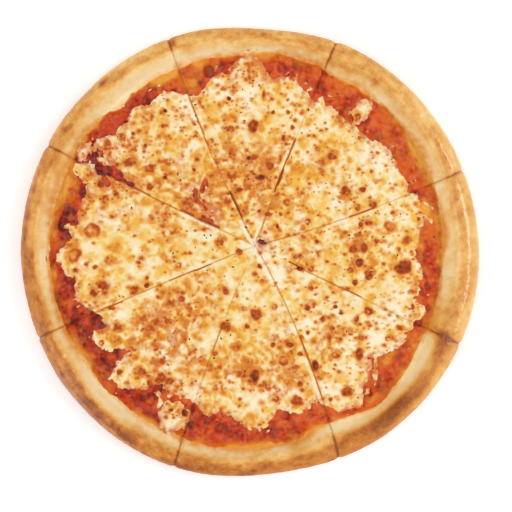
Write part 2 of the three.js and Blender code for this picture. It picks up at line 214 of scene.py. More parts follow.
# White curds that never browned: x, y, across.
CURDS = (
    (-75, 85, 8), (-50, 84, 10), (-43, 94, 15), (-60, 101, 11), (-88, 67, 12), (-81, 74, 7),
    (-70, 64, 7), (-46, 62, 11), (-5, 80, 8), (-20, 105, 10), (-3, 97, 12), (-22, 113, 8), (2, 108, 9),
    (37, 65, 9), (33, 87, 8), (-36, 70, 9), (50, 87, 9), (46, 43, 8), (68, 46, 8), (85, 67, 13),
    (86, 57, 10), (60, 60, 8), (74, 62, 15), (95, 48, 10), (89, 25, 9), (78, 15, 5), (63, -11, 4),
    (73, -17, 5), (98, -29, 15), (101, 24, 8), (105, 36, 7), (60, -38, 7), (88, -45, 12),
    (82, -55, 12), (62, -76, 18), (57, -92, 9), (70, -93, 9), (97, -62, 6), (45, -62, 8), (5, -95, 22),
    (20, -90, 10), (-36, -91, 12), (-14, -86, 8), (10, -57, 9), (-5, -43, 9), (-22, -51, 7),
    (-30, -62, 7), (31, -92, 9), (0, -27, 11), (20, -14, 8), (35, -16, 10), (-3, 4, 8), (12, 1, 9),
    (-26, 10, 9), (-40, 8, 8), (35, 24, 7), (5, 20, 7), (11, 12, 7), (-97, 22, 15), (-89, 18, 9),
    (-106, 7, 8), (-75, 5, 10), (-70, -8, 15), (-92, -20, 7), (-43, 22, 8), (-86, -42, 9),
    (-70, -66, 9), (-57, -67, 8), (-50, -75, 11), (-45, -65, 8), (-84, -85, 7), (-97, -64, 6),
    (-102, -56, 6), (-50, -111, 8), (-60, -101, 6), (-78, -76, 7), (-82, 28, 8), (-110, -10, 9),
    (-104, -34, 6), (76, 95, 10), (-110, 66, 9), (55, 32, 7), (60, 42, 6), (66, -60, 6), (-14, -20, 7),
    (46, -55, 6), (5, -115, 5), (-8, 113, 7), (4, 121, 5), (-5, 126, 4), (9, 123, 4), (0, 127, 5),
    (-8, 118, 5), (6, 115, 5), (-3, 116, 4), (3, 109, 5), (22, 2, 11), (84, -65, 13), (43, -41, 9),
    (0, 75, 9), (28, 98, 9), (31, 16, 9), (100, -41, 10), (-2, 119, 6), (15, -8, 9), (29, -26, 9),
    (46, 2, 10), (52, -8, 9), (39, -48, 10), (27, -52, 9), (91, 2, 8), (80, 42, 11), (48, -88, 9),
    (30, 8, 9), (62, 20, 8), (70, -30, 9), (-5, 19, 5), (-1, 11, 6), (3, 2, 7), (7, -5, 7),
    (11, -12, 6), (15, -18, 6),
)

# Wide areas steeped in orange oil: x, y, across, strength.
OIL_STAINS = (
    (-8, 58, 46, 0.75), (10, 40, 46, 0.55), (-24, 32, 24, 0.55), (28, 18, 36, 0.2),
    (-62, -48, 34, 0.85), (-48, -38, 22, 0.6), (-80, 40, 30, 0.5), (48, 58, 26, 0.5), (72, 8, 26, 0.5),
    (52, -64, 26, 0.45), (0, -76, 30, 0.45), (-62, 46, 30, 0.35), (-36, 108, 20, 0.6),
    (84, -74, 12, 0.5), (-70, -88, 24, 0.35), (34, -6, 22, 0.2), (-28, -74, 22, 0.35),
    (24, -80, 20, 0.4), (-92, 50, 16, 0.6), (-50, -96, 16, 0.6), (-37, 37, 40, 0.4),
    (-37, -37, 46, 0.5), (-60, 62, 44, 0.4), (-64, -58, 46, 0.45), (-24, -84, 40, 0.35),
    (22, -84, 40, 0.4), (14, -52, 30, 0.3), (-90, 30, 40, 0.2), (68, 34, 24, 0.3), (108, 4, 12, 0.3),
    (-24, 70, 14, 0.6), (-42, 65, 14, 0.5), (33, 39, 12, 0.5), (-36, -21, 12, 0.6), (0, 29, 12, 0.4),
    (-80, -71, 12, 0.6), (-55, 24, 18, 0.3), (40, -34, 20, 0.3), (6, 118, 18, 0.4),
    (-57, -64, 26, 0.9), (-54, 13, 18, 0.6), (20, 66, 16, 0.5), (42, -1, 14, 0.6), (-5, 95, 16, 0.4),
    (-33, 97, 18, 0.6), (47, -94, 12, 0.6), (-90, 60, 10, 0.4), (-104, -33, 10, 0.6),
    (-42, -66, 28, 0.5), (36, -84, 18, 0.5), (-3, -90, 12, 0.7), (-58, -86, 20, 0.5),
)

# Thin cheese that the tomato shows through: x, y, across, strength.
TOMATO_STAINS = (
    (-10, 57, 22, 0.55), (6, 47, 16, 0.6), (14, 58, 12, 0.55), (-8, 42, 8, 0.7), (-24, 48, 14, 0.15),
    (-36, 112, 14, 0.8), (-30, 124, 12, 0.8), (71, 6, 12, 0.4), (71, -7, 12, 0.6), (76, 20, 10, 0.6),
    (80, 32, 9, 0.4), (53, -56, 12, 0.6), (58, -66, 10, 0.4), (76, -52, 12, 0.5), (84, -74, 9, 0.5),
    (80, -88, 9, 0.9), (44, -76, 9, 0.5), (3, -82, 15, 0.8), (10, -88, 9, 0.5), (-66, -49, 15, 0.9),
    (-56, -45, 14, 0.75), (-40, -38, 12, 0.4), (-76, -25, 10, 0.5), (-98, 48, 12, 0.5),
    (-88, 45, 12, 0.6), (-106, 51, 9, 0.6), (-94, 70, 8, 0.7), (-84, 76, 7, 0.6), (-15, 33, 10, 0.6),
    (-9, 26, 8, 0.5), (-30, 20, 12, 0.7), (-38, 31, 12, 0.8), (-78, -65, 9, 0.5), (-72, -80, 10, 0.4),
    (34, -10, 10, 0.5), (34, -1, 8, 0.5), (40, -37, 7, 0.5), (103, 8, 7, 0.7), (60, 88, 10, 0.6),
    (80, 78, 10, 0.4), (12, 102, 8, 0.4), (2, 116, 14, 0.6), (-112, 66, 8, 0.5), (-47, -94, 10, 0.7),
    (26, -78, 12, 0.4), (63, 37, 9, 0.4), (22, 74, 7, 0.4), (108, -20, 10, 0.2), (-1, 123, 17, 0.45),
    (-12, 118, 13, 0.7), (-110, 29, 12, 0.8), (-32, 32, 22, 0.9), (-62, -84, 18, 0.7),
    (-80, 66, 26, 0.5), (-79, 72, 14, 0.4), (-98, -52, 10, 0.7), (-50, -106, 12, 0.6),
    (-92, 63, 14, 0.8), (-51, 90, 12, 0.5), (-12, 108, 12, 0.4), (-49, -87, 10, 0.5), (0, 29, 10, 0.4),
    (-88, -51, 12, 0.5), (-104, -34, 10, 0.6), (6, -89, 10, 0.4), (-105, 36, 9, 0.8),
    (-107, 67, 11, 0.6), (104, -40, 8, 0.5), (118, 24, 9, 0.6), (-110, 46, 9, 0.6), (-120, 8, 8, 0.4),
    (-102, -44, 8, 0.4),
)

# Places where the sauce shows through the cheese: x and y of both ends, width at each end.
HOLLOWS = (
    (-106, 72, -98, 57, 7.5, 10.0), (-98, 57, -86, 49, 10.0, 6.4), (-86, 49, -78, 44, 5.0, 2.2),
    (-100, 56, -94, 46, 6.0, 4.0), (-36, 40, -35, 34, 3.0, 3.4), (-35, 34, -29, 29, 3.2, 2.8),
    (-29, 29, -25, 26, 2.8, 2.4), (-30, 46, -32, 41, 1.8, 2.2), (-31, 23, -25, 20, 2.4, 2.6),
    (-106, -47, -94.5, -48.5, 13.0, 3.4), (6, 7, 10, 6, 3.6, 3.2), (81, -72, 80, -93, 1.6, 3.0),
    (-63, -90, -58, -88, 4.4, 3.0), (-60, -89, -52, -103, 2.4, 3.4), (-88, -69, -79, -65, 5.0, 2.0),
)

# Thin strings of cheese lying over the sauce: x and y of both ends, width. The two round the brown bubble at
# (-27.5, 119) are pale strands that stand for the glints round it: painted highlights.
STRANDS = (
    (83, -70, 84, -89, 4.0), (79, -71, 79, -76, 2.6), (126, 27, 112, 33, 1.6),
    (-129, 17, -116, 17, 1.4), (52, 104, 62, 109, 1.4), (-98, 61, -91, 57, 2.2),
    (66, 108, 62, 100, 1.2), (-20, 128, -24, 118, 1.4), (-32, 122, -28, 124.5, 1.1),
    (98, -55, 104, -44, 1.6),
)

# Orange oil lying on the sauce: direction, radius, half-width in degrees and in mm, strength.
OIL_POOLS = (
    (160, 131, 6, 8, 1.5), (30, 129, 7, 5, 1.3), (116, 128, 5, 4, 1.3), (148, 134, 4, 4, 1.2),
    (13, 119, 3, 4, 1.4), (4, 112, 3, 4, 0.9), (286, 123, 6, 5, 0.3), (324, 115, 5, 5, 0.9),
    (270, 130, 8, 5, 1.1), (211, 129, 6, 5, 1.1), (328, 125, 7, 4, 0.3), (104, 127, 4, 3, 0.5),
    (109, 116, 4, 7, 0.9), (174, 130, 3, 4, 0.9), (179, 119, 4, 6, 0.6), (340, 119, 4, 4, 0.4),
    (60, 124, 4, 4, 0.4), (187, 129, 5, 3, 0.5), (240, 130, 4, 2.5, 0.6), (313, 127, 5, 3, 0.5),
    (85, 128, 8, 3, 0.4),
)

# Bread under the rim's foot that soaked up orange oil: direction, half-width, reach up the rim.
SOAKED_SWELLS = (
    (8, 8, 2.5), (30, 7, 5.0), (57, 7, 3.4), (76, 7, 3.2), (98, 7, 2.2), (110, 6, 2.0), (120, 7, 2.2),
    (342, 7, 3.6), (146, 6, 5.0), (163, 9, 9.4), (195, 9, 2.5), (208, 7, 4.4), (236, 6, 2.2),
    (251, 7, 3.2), (269, 8, 4.5), (288, 6, 3.0), (328, 8, 0.6),
)

# Brown patches on the rim: direction, radius, half-width in degrees, half-width in mm, tone. The two at 336.5
# and 337 degrees, along the eighth cut, are painted shade in the cut.
RIM_SPOTS = (
    (131, 146.0, 1.9, 2.2, 0.42), (125.5, 142.0, 1.2, 2.2, 0.22), (131, 139.0, 1.2, 3.0, 0.12),
    (146, 143.0, 1.6, 2.8, 0.16), (171, 147.0, 1.2, 2.4, 0.24), (175, 147.0, 2.4, 2.0, 0.24),
    (163, 146.0, 2.0, 2.0, 0.12), (223, 145.0, 1.2, 3.2, 0.24), (227.5, 144.5, 1.2, 2.4, 0.26),
    (231, 145.0, 1.6, 2.6, 0.18), (236.5, 145.5, 3.0, 3.0, 0.50), (214, 146.0, 1.4, 2.0, 0.14),
    (238, 133.5, 1.2, 2.2, 0.18), (254, 146.0, 1.8, 2.6, 0.34), (262, 142.0, 5.0, 3.4, 0.12),
    (275, 142.0, 3.0, 3.0, 0.12), (283, 136.0, 3.0, 4.0, 0.14), (295, 140.0, 2.6, 4.0, 0.18),
    (303, 138.0, 4.6, 4.0, 0.08), (310, 143.0, 2.4, 3.0, 0.10), (306.5, 137.5, 2.0, 2.4, 0.10),
    (319, 137.0, 3.0, 3.0, 0.08), (332, 139.0, 2.4, 4.0, 0.14), (337, 139.0, 1.1, 6.0, 0.20),
    (343, 135.0, 1.0, 4.0, 0.16), (348, 146.0, 2.4, 2.4, 0.14), (353, 139.0, 1.2, 2.0, 0.1),
    (15, 138.5, 5.0, 2.6, 0.12), (23, 138.0, 2.6, 2.6, 0.12), (38.5, 132.5, 1.6, 2.4, 0.18),
    (53, 137.5, 1.4, 2.4, 0.24), (54, 136.0, 2.6, 3.0, 0.1), (58, 129.5, 2.0, 2.0, 0.2),
    (5.5, 128.8, 3.4, 3.2, 0.46), (340, 129.0, 5.0, 4.2, 0.44), (283.5, 130.0, 4.0, 4.0, 0.20),
    (142, 134.0, 3.0, 3.0, 0.40), (311, 138.0, 5.0, 2.6, 0.14), (238, 138.0, 3.0, 3.0, 0.16),
    (59, 134.0, 6.0, 3.0, 0.16), (67, 134.0, 3.0, 3.0, 0.14), (241, 133.0, 2.4, 3.0, -0.25),
    (333.5, 131.0, 2.0, 4.0, -0.12), (66, 141.0, 2.0, 5.0, 0.12), (71.5, 142.0, 1.0, 3.4, 0.12),
    (87, 142.5, 3.6, 1.8, 0.14), (95, 142.0, 2.4, 2.6, 0.1), (101, 131.0, 2.0, 2.4, 0.1),
    (110, 145.0, 1.0, 2.6, 0.42), (119, 145.0, 2.0, 2.4, 0.08), (205, 143.0, 3.0, 2.6, 0.08),
    (286.5, 125.0, 4.0, 2.4, 0.36), (282, 127.0, 1.2, 2.0, 0.14), (336.5, 135.0, 2.6, 8.0, 0.36),
)

# How dark and how orange the sauce is, as swells.
SAUCE_DARK_SWELLS = (
    (195, 44, 0.24), (140, 30, 0.10), (34, 26, -0.05), (66, 14, -0.10), (235, 12, 0.08),
    (270, 14, 0.06), (208, 12, 0.12), (303, 10, -0.16), (324, 8, -0.12), (13, 8, -0.12),
    (105, 8, -0.16), (180, 8, -0.16), (256, 10, -0.12), (135, 7, 0.08),
)
SAUCE_ORANGE_SWELLS = ((28, 22, 0.20), (0, 10, 0.26), (285, 12, 0.06), (327, 10, 0.14), (108, 5, 0.15))

# How brown the rim is, as swells: over the whole crest, on the outer flank, on the inner slope, just inside
# the crest, and where the inner slope stayed pale. Then a browner stretch that starts part of the way up the
# inner slope, a lighter one that starts nearer the crest, where the streaks fade, where the lumps do, and
# where butter or oil makes it shine.
RIM_BROWN_SWELLS = (
    (316, 22, 0.24), (275, 22, 0.20), (228, 26, 0.25), (190, 24, 0.21), (145, 24, 0.10),
    (60, 14, 0.06), (10, 30, 0.08), (90, 14, 0.12),
)
RIM_OUTSIDE_SWELLS = (
    (318, 20, -0.24), (12, 40, -0.16), (140, 20, -0.06), (90, 8, -0.10), (120, 8, -0.08),
    (195, 9, -0.11), (225, 9, -0.10), (257, 8, 0.10), (72, 9, -0.10),
)
RIM_INSIDE_SWELLS = (
    (270, 18, 0.16), (289, 9, 0.14), (38, 16, 0.10), (85, 20, 0.08), (0, 16, 0.05), (158, 9, 0.14),
    (312, 7, 0.16), (246, 9, 0.09), (335, 5, 0.08), (60, 8, 0.08), (204, 6, 0.08),
)
RIM_CREST_SWELLS = (
    (45, 8, 0.09), (60, 9, 0.17), (105, 7, 0.09), (154, 9, 0.16), (195, 8, 0.15),
    (240, 8, 0.14), (254, 8, 0.17), (270, 6, -0.06), (283, 9, -0.19), (300, 7, 0.18),
    (315, 7, 0.12), (345, 7, 0.11),
)
RIM_PALE_SWELLS = ((117, 7, 0.14), (218, 6, 0.12), (230, 7, 0.14), (299, 6, 0.10))
RIM_BROWNER_SWELLS = ((316, 18, 0.20),)
RIM_LIGHTER_SWELLS = ((322, 14, 0.12),)
EVEN_TONE_SWELLS = ((314, 24, 0.45),)
EVEN_SHAPE_SWELLS = ((2, 32, 0.85),)
GLAZE_SWELLS = ((4, 36, 1.0), (215, 18, 0.75), (165, 14, 0.45), (130, 16, 0.3))
DARKEST_TOAST = 0.86

# Smooth pools and bubbles of sauce: x, y, width, depth, turn, rise, dark, orange. The nearly black one at
# (8.5, 6.5), in the notch at the hub, is painted shade in the notch.
SAUCE_POOLS = (
    (-91, 86, 21, 13, 52, 0.7, 0.30, 0.10), (-103, 77, 9, 6, 60, 0.3, 0.55, 0.1),
    (-27.5, 119, 8.5, 9, 0, 1.4, 0.85, 0.40), (8.5, 6.5, 9, 6, -10, -0.3, 0.95, 0.35),
    (-39.5, 31, 8, 10, 0, -0.2, 0.6, 0.8), (-27, 20.5, 10, 5, -30, 0, 0.7, 0.5),
    (117, -23, 4.5, 4.5, 0, 0.9, 0.9, 0.4), (-97, 56, 18, 9, -40, -0.3, 0.75, 0.05),
    (-109, 39.5, 8, 8, 0, -0.2, 1.0, 0.0), (-97, -48, 9, 8, 0, -0.3, 0.75, 0.05),
    (81, -84, 8, 14, 0, 0.0, 0.25, 0.55),
)

# Herb flakes with a place of their own: x, y. The rest are scattered.
HERB_PLACES = (
    (-36, 97), (-32, 101), (-14, 101), (-14, 51), (-30, 11), (-36, 3), (-71, 1), (-17, -16),
    (-19, -57), (-14, -75), (-13, -80), (-15, -45), (69, 72), (-6, 92), (-5, 107), (2, 113), (6, 110),
    (27, -65), (70, -74), (-50, -62), (-48, -45), (-52, -104), (-57, -106), (-111, -68), (-116, 20),
    (-107, 45), (-57, 101), (99, 25), (107, 27), (88, 10), (97, -2), (87, -7), (29, -55), (-33, -95),
    (50, 45), (92, -51), (-13, -108), (-25, -112), (-22, -112), (-8, -114), (39, -107), (48, -109),
    (-86, -29),
)

# ---- plain functions of direction and place ----


def middle_of_outline():
    """Centre of the box round the outer edge, as the bread's own outline is centred."""
    degrees = np.arange(0, 360, 3.75)
    reach = outer_edge(degrees)
    x = reach * np.cos(np.radians(degrees))
    y = reach * np.sin(np.radians(degrees))
    return np.array(((x.min() + x.max()) / 2, (y.min() + y.max()) / 2))


def swollen(degrees, swells):
    """Sum of bell curves: each swell adds reach * exp(-(angle away / half-width) squared)."""
    total = np.zeros_like(np.asarray(degrees, float))
    for at, half, reach in swells:
        away = (degrees - at + 180) % 360 - 180
        total += reach * np.exp(-((away / half) ** 2))
    return total


def outer_edge(degrees):
    """Distance of the rim's outer edge."""
    return PIZZA_RADIUS + swollen(degrees, OUTLINE_SWELLS)


def rim_foot(degrees):
    """Distance at which the bread starts to rise towards the rim."""
    return outer_edge(degrees) - RIM_WIDTH - swollen(degrees, RIM_SWELLS)


def cheese_edge(degrees):
    """Reach of the cheese: straight runs between the edge points, averaged over about two degrees."""
    at, reach = np.array(CHEESE_EDGE, float).T
    nearby = np.asarray(degrees, float)[..., None] + np.linspace(-0.9, 0.9, 5)
    return np.interp(nearby, at, reach, period=360).mean(-1)


def spot_share(degrees, radius, at, spot_radius, half_degrees, half_mm):
    """Squared distance from a spot's middle, as shares of its half-widths round the pizza and outwards."""
    away = (degrees - at + 180) % 360 - 180
    return (away / half_degrees) ** 2 + ((radius - spot_radius) / half_mm) ** 2


def smooth(low, high, value):
    """Smoothstep: 0 below low, 1 above high, and 3t^2 - 2t^3 between."""
    t = np.clip((value - low) / (high - low), 0, 1)
    return t * t * (3 - 2 * t)


def plateau(value, start, end, fade):
    """1 from start to end and 0 elsewhere, with smoothsteps that reach `fade` to each side of both ends."""
    return smooth(start - fade, start + fade, value) * (1 - smooth(end - fade, end + fade, value))


MIDDLE = middle_of_outline()


def polar_of(x, y):
    """Direction in degrees and distance, measured from the point that the radii start from."""
    from_x = x + MIDDLE[0]
    from_y = y + MIDDLE[1]
    return np.degrees(np.arctan2(from_y, from_x)) % 360, np.hypot(from_x, from_y)


NOISE_CELLS = 128


def noise(x, y, size, seed):
    """Smooth random field from -1 to 1: random heights at the corners of square cells, `size` apart,
    blended across each cell by smoothstep. The cells are turned by an angle of their own."""
    random = np.random.default_rng(seed)
    table = random.random((NOISE_CELLS, NOISE_CELLS)) * 2 - 1
    turn = random.random() * math.pi
    u = (x * math.cos(turn) - y * math.sin(turn)) / size
    v = (x * math.sin(turn) + y * math.cos(turn)) / size
    column = np.floor(u).astype(int)
    row = np.floor(v).astype(int)
    right = smooth(0, 1, u - column)
    up = smooth(0, 1, v - row)
    column %= NOISE_CELLS
    row %= NOISE_CELLS
    next_column = (column + 1) % NOISE_CELLS
    next_row = (row + 1) % NOISE_CELLS
    low = table[row, column] * (1 - right) + table[row, next_column] * right
    high = table[next_row, column] * (1 - right) + table[next_row, next_column] * right
    return low * (1 - up) + high * up


def rough(x, y, size, seed, octaves=3):
    """Noise added at halving sizes and halving heights."""
    total = 0
    weight = 1.0
    for octave in range(octaves):
        total = total + weight * noise(x, y, size / 2**octave, seed + 101 * octave)
        weight *= 0.5
    return total / 1.5


def segment_distance(x, y, start, end):
    """Distance from each place to a straight stretch, and how far along the stretch the nearest point is."""
    course = np.subtract(end, start)
    along = ((x - start[0]) * course[0] + (y - start[1]) * course[1]) / max(course @ course, 1e-9)
    along = np.clip(along, 0, 1)
    return np.hypot(x - start[0] - along * course[0], y - start[1] - along * course[1]), along


# ---- the fields over the whole pizza ----

MAP_STEP = 0.25
MAP_REACH = 156.0


class Fields:
    """Square maps over the pizza, one number every MAP_STEP mm, that the surfaces are sampled from."""

    def __init__(self):
        line = np.arange(-MAP_REACH, MAP_REACH + MAP_STEP, MAP_STEP)
        self.x, self.y = np.meshgrid(line, line)
        self.degrees, self.radius = polar_of(self.x, self.y)
        self.maps = {}

    def window(self, x, y, reach):
        """The part of the maps within reach of a place, as two slices, with the offsets from it."""
        low_column = max(int((x - reach + MAP_REACH) / MAP_STEP), 0)
        high_column = int((x + reach + MAP_REACH) / MAP_STEP) + 2
        low_row = max(int((y - reach + MAP_REACH) / MAP_STEP), 0)
        high_row = int((y + reach + MAP_REACH) / MAP_STEP) + 2
        part = (slice(low_row, high_row), slice(low_column, high_column))
        return part, self.x[part] - x, self.y[part] - y

    def sample(self, name, x, y):
        """Value of a map at any places, blended between the four nearest numbers."""
        field = self.maps[name]
        u = np.clip((x + MAP_REACH) / MAP_STEP, 0, field.shape[1] - 1.001)
        v = np.clip((y + MAP_REACH) / MAP_STEP, 0, field.shape[0] - 1.001)
        column = u.astype(int)
        row = v.astype(int)
        right = u - column
        up = v - row
        low = field[row, column] * (1 - right) + field[row, column + 1] * right
        high = field[row + 1, column] * (1 - right) + field[row + 1, column + 1] * right
        return low * (1 - up) + high * up


def cheese_margin(fields):
    """How far inside the cheese each place is, in mm, less than zero outside it. The edge is a reach that
    depends on the direction, with hollows cut out, strings and crumbs added, and a ragged line."""
    steps = np.arange(0, 360, 0.25)
    reach = cheese_edge(steps)
    steepness = np.gradient(reach, np.radians(0.25)) / reach
    slope = 1 / np.sqrt(1 + steepness**2)
    edge = np.interp(fields.degrees, steps, reach, period=360)
    slope = np.interp(fields.degrees, steps, slope, period=360)
    margin = (edge - fields.radius) * slope
    for x0, y0, x1, y1, width0, width1 in HOLLOWS:
        away, along = segment_distance(fields.x, fields.y, (x0, y0), (x1, y1))
        half = 0.5 * (width0 + (width1 - width0) * along)
        margin = np.minimum(margin, away - half)
    for x0, y0, x1, y1, width in STRANDS:
        away, _along = segment_distance(fields.x, fields.y, (x0, y0), (x1, y1))
        margin = np.maximum(margin, 0.5 * width - away)
    crumbs = 3.2 * (noise(fields.x, fields.y, 2.6, 15) + 0.35 * noise(fields.x, fields.y, 6.0, 16) - 0.88)
    in_ring = smooth(2.0, 4.0, rim_foot(fields.degrees) - fields.radius)
    margin = np.maximum(margin, np.where(in_ring > 0.5, crumbs - 0.3, -9))
    ragged = 2.1 * rough(fields.x, fields.y, 5.0, 11) + 0.5 * rough(fields.x, fields.y, 2.0, 12, 2)
    return margin + ragged + 0.45


def bubble(dx, dy, width, depth, seed):
    """Distance from a bubble's middle as a share of its radius, with a wobbly outline."""
    angle = np.arctan2(dy, dx)
    wobble = 1 + 0.09 * np.sin(2 * angle + seed) + 0.07 * np.sin(3 * angle + 2.3 * seed)
    wobble += 0.04 * np.sin(5 * angle + 4.1 * seed)
    return np.hypot(dx / (0.5 * width), dy / (0.5 * depth)) / wobble


def ridged(x, y, size, seed):
    """Noise folded over at zero, with the fold rounded off, so that it makes a net of soft bright lines."""
    return 1.08 - 1.7 * np.sqrt(noise(x, y, size, seed) ** 2 + 0.012)


def browning(fields):
    """Toast, oil, curd, tomato and lift maps of the cheese: a curdled ground, stains, curds and pools, then
    gold dots, freckles, blisters and burst bubbles on top of it."""
    x, y = fields.x, fields.y
    grain = 0.55 * ridged(x, y, 5.0, 24) + 0.45 * ridged(x, y, 2.6, 25) - 0.5
    broad = rough(x, y, 13.0, 22)
    seeped = 0.10 + 0.22 * rough(x, y, 15.0, 21) + 0.30 * rough(x, y, 4.5, 27)
    ground = {
        "toast": np.zeros_like(x),
        "lift": 0.60 * grain + 0.30 * rough(x, y, 4.0, 26),
        "oil": np.clip(seeped - 0.45 * grain, 0, 1),
        "curd": 0.59 + 0.20 * broad + 0.58 * grain + 0.18 * rough(x, y, 2.4, 23),
        "tomato": 0.10 * rough(x, y, 9.0, 28),
    }
    fields.maps.update(ground)
    steep(fields)
    set_curds(fields)
    gold_dots(fields)
    freckles(fields)
    blisters(fields)
    burst_bubbles(fields)
    for label in ("toast", "oil", "curd", "tomato"):
        fields.maps[label] = np.clip(fields.maps[label], 0, 1)


def screen(field, part, amount):
    """Adds to part of a field so that it nears 1 without passing it: 1 - (1 - old)(1 - new)."""
    field[part] = 1 - (1 - field[part]) * (1 - amount)


def steep(fields):
    """Oil and tomato stains: bell-shaped patches broken up by noise, with small browned flecks of cheese."""
    toast = fields.maps["toast"]
    for label, stains in (("oil", OIL_STAINS), ("tomato", TOMATO_STAINS)):
        stained = fields.maps[label]
        for x, y, across, strength in stains:
            part, dx, dy = fields.window(x, y, 1.2 * across)
            net = ridged(fields.x[part], fields.y[part], 4.4, 29)
            patchy = rough(fields.x[part], fields.y[part], 5.0, 30)
            broken = np.clip(1.0 + 0.9 * patchy - 0.95 * net, 0, 1)
            bell = np.exp(-((np.hypot(dx, dy) / (0.5 * across)) ** 2))
            stained[part] += 0.70 * strength * bell * broken
            flecks = noise(fields.x[part], fields.y[part], 2.8, 34)
            flecks += 0.6 * noise(fields.x[part], fields.y[part], 1.5, 35)
            flecked = (0.36 + 0.34 * strength) * smooth(0.1, 0.9, bell)
            flecked = flecked * np.clip(0.32 + 0.66 * flecks, 0, 1)
            if label == "tomato":
                stained[part] += 0.7 * flecked
            toast[part] = np.maximum(toast[part], flecked)


def set_curds(fields):
    """White curds, which stand up a little and keep the oil off, and clear amber pools, which lie low."""
    maps = fields.maps
    for index, (x, y, across) in enumerate(CURDS):
        part, dx, dy = fields.window(x, y, across)
        patch = np.exp(-(bubble(dx, dy, across, across, index) ** 2) * 0.9)
        maps["curd"][part] += 0.42 * patch
        maps["oil"][part] *= 1 - 0.7 * patch
        maps["tomato"][part] *= 1 - 0.8 * patch
        maps["lift"][part] += 0.25 * patch
    for index, (x, y, across) in enumerate(AMBER_POOLS):
        part, dx, dy = fields.window(x, y, across)
        patch = 1 - smooth(0.45, 1.3, bubble(dx, dy, across, across, 0.7 * index))
        maps["curd"][part] -= 0.30 * patch
        maps["toast"][part] = np.maximum(maps["toast"][part], 0.17 * patch)
        maps["lift"][part] -= 0.12 * patch


def blisters(fields):
    """Brown blisters: low domes, darkest towards their edge, mottled, each in a faint ring of oil."""
    maps = fields.maps
    for index, (x, y, width, depth, tone) in enumerate(BLISTERS):
        part, dx, dy = fields.window(x, y, 1.3 * max(width, depth))
        share = bubble(dx, dy, width, depth, 1.9 * index)
        body = 1 - smooth(0.50, 1.32, share)
        mottle = 0.20 * noise(fields.x[part], fields.y[part], 1.5, 31)
        colour = tone - 0.10 + 0.12 * np.minimum(share, 1) ** 2 + mottle
        maps["toast"][part] = np.maximum(maps["toast"][part], body * colour)
        screen(maps["oil"], part, 0.42 * (1 - smooth(0.8, 1.8, share)) * (1 - body))
        dome = np.sqrt(np.clip(1 - share**2, 0, 1))
        maps["lift"][part] += dome * min(0.13 * min(width, depth), 1.1)
        maps["lift"][part] -= 0.12 * np.exp(-(((share - 1.12) / 0.16) ** 2))


def burst_bubbles(fields):
    """Burst bubbles: an amber disc with a browner, ragged edge, a raised ring and a sunken middle that is
    painted paler as a glint.
    """
    maps = fields.maps
    for index, (x, y, across, tone) in enumerate(RINGS):
        part, dx, dy = fields.window(x, y, 1.3 * across)
        share = bubble(dx, dy, across, across, 1.3 * index)
        patchy = 0.75 + 0.5 * noise(fields.x[part], fields.y[part], 0.3 * across, 33)
        patchy += 0.35 * np.cos(np.arctan2(dy, dx) - 1.7 * index)
        disc = 1 - smooth(0.62, 1.12, share)
        ring = np.exp(-(((share - 0.62) / 0.34) ** 2)) * np.clip(patchy, 0, 1.3)
        middle = 1 - smooth(0.05, 0.30, bubble(dx + 0.12 * across, dy - 0.05 * across, across, across, index))
        mottle = 0.10 * noise(fields.x[part], fields.y[part], 1.6, 36)
        # painted highlight: the middle is made less brown and whiter, as a glint on the sunken middle
        browned = disc * (0.34 + 0.60 * (tone - 0.2) * ring + mottle) * (1 - 0.3 * middle)
        maps["toast"][part] = np.maximum(maps["toast"][part] * (1 - disc), browned)
        maps["curd"][part] += 0.08 * middle
        maps["tomato"][part] += 0.20 * middle
        screen(maps["oil"], part, 0.30 * (1 - smooth(0.8, 1.5, share)))
        maps["lift"][part] += 0.14 * ring * disc + 0.10 * disc - 0.10 * middle


FRECKLES = 3900
FRECKLE_REACH = 127.0
FRECKLE_SEED = 5
GOLD_DOTS = 1300
DOT_REACH = 122.0
DOT_SEED = 6


def in_disc(reach, angle, share):
    """x and y of a place in a disc: a share of a turn, and a share of the disc's area as the square of the
    distance."""
    radius = reach * math.sqrt(share)
    return radius * math.cos(2 * math.pi * angle), radius * math.sin(2 * math.pi * angle)


def freckles(fields):
    """Thousands of small toasted freckles: fine and crowded on the right and at the top, larger and sparser
    on the left. Then a few bigger ones wherever the tomato shows through."""
    random = np.random.default_rng(FRECKLE_SEED)
    for _freckle in range(FRECKLES):
        angle, share, size_pick, tone_pick, turn_pick, keep = random.random(6)
        x, y = in_disc(FRECKLE_REACH, angle, share)
        fineness = 0.5 + 0.5 * math.tanh((x + 0.7 * y) / 45)
        if keep < 0.24 + 0.76 * fineness:
            size = (1.5 + 2.7 * size_pick**2.4) * (1.3 - 0.4 * fineness)
            freckle(fields, x, y, size, 0.18 + 0.46 * tone_pick**1.3, turn_pick)
    for stain_x, stain_y, across, strength in TOMATO_STAINS:
        for _spot in range(int(0.6 * across)):
            turn, share, size_pick, tone_pick = random.random(4)
            dx, dy = in_disc(0.5 * across, turn, share)
            size = 1.4 + 2.6 * size_pick**2
            tone = 0.46 + 0.36 * tone_pick * strength
            freckle(fields, stain_x + dx, stain_y + dy, size, tone, turn)


def freckle(fields, x, y, size, tone, pick):
    """One freckle: a soft oval of toast in a faint ring of oil."""
    maps = fields.maps
    part, dx, dy = fields.window(x, y, 2.4 * size)
    spot = bubble(dx, dy, size * (1 + 0.5 * pick), size, 6.28 * pick)
    body = 1 - smooth(0.0, 1.6, spot)
    maps["toast"][part] = np.maximum(maps["toast"][part], tone * body)
    screen(maps["oil"], part, 0.24 * (1 - smooth(0.4, 2.2, spot)))
    maps["lift"][part] += 0.10 * body


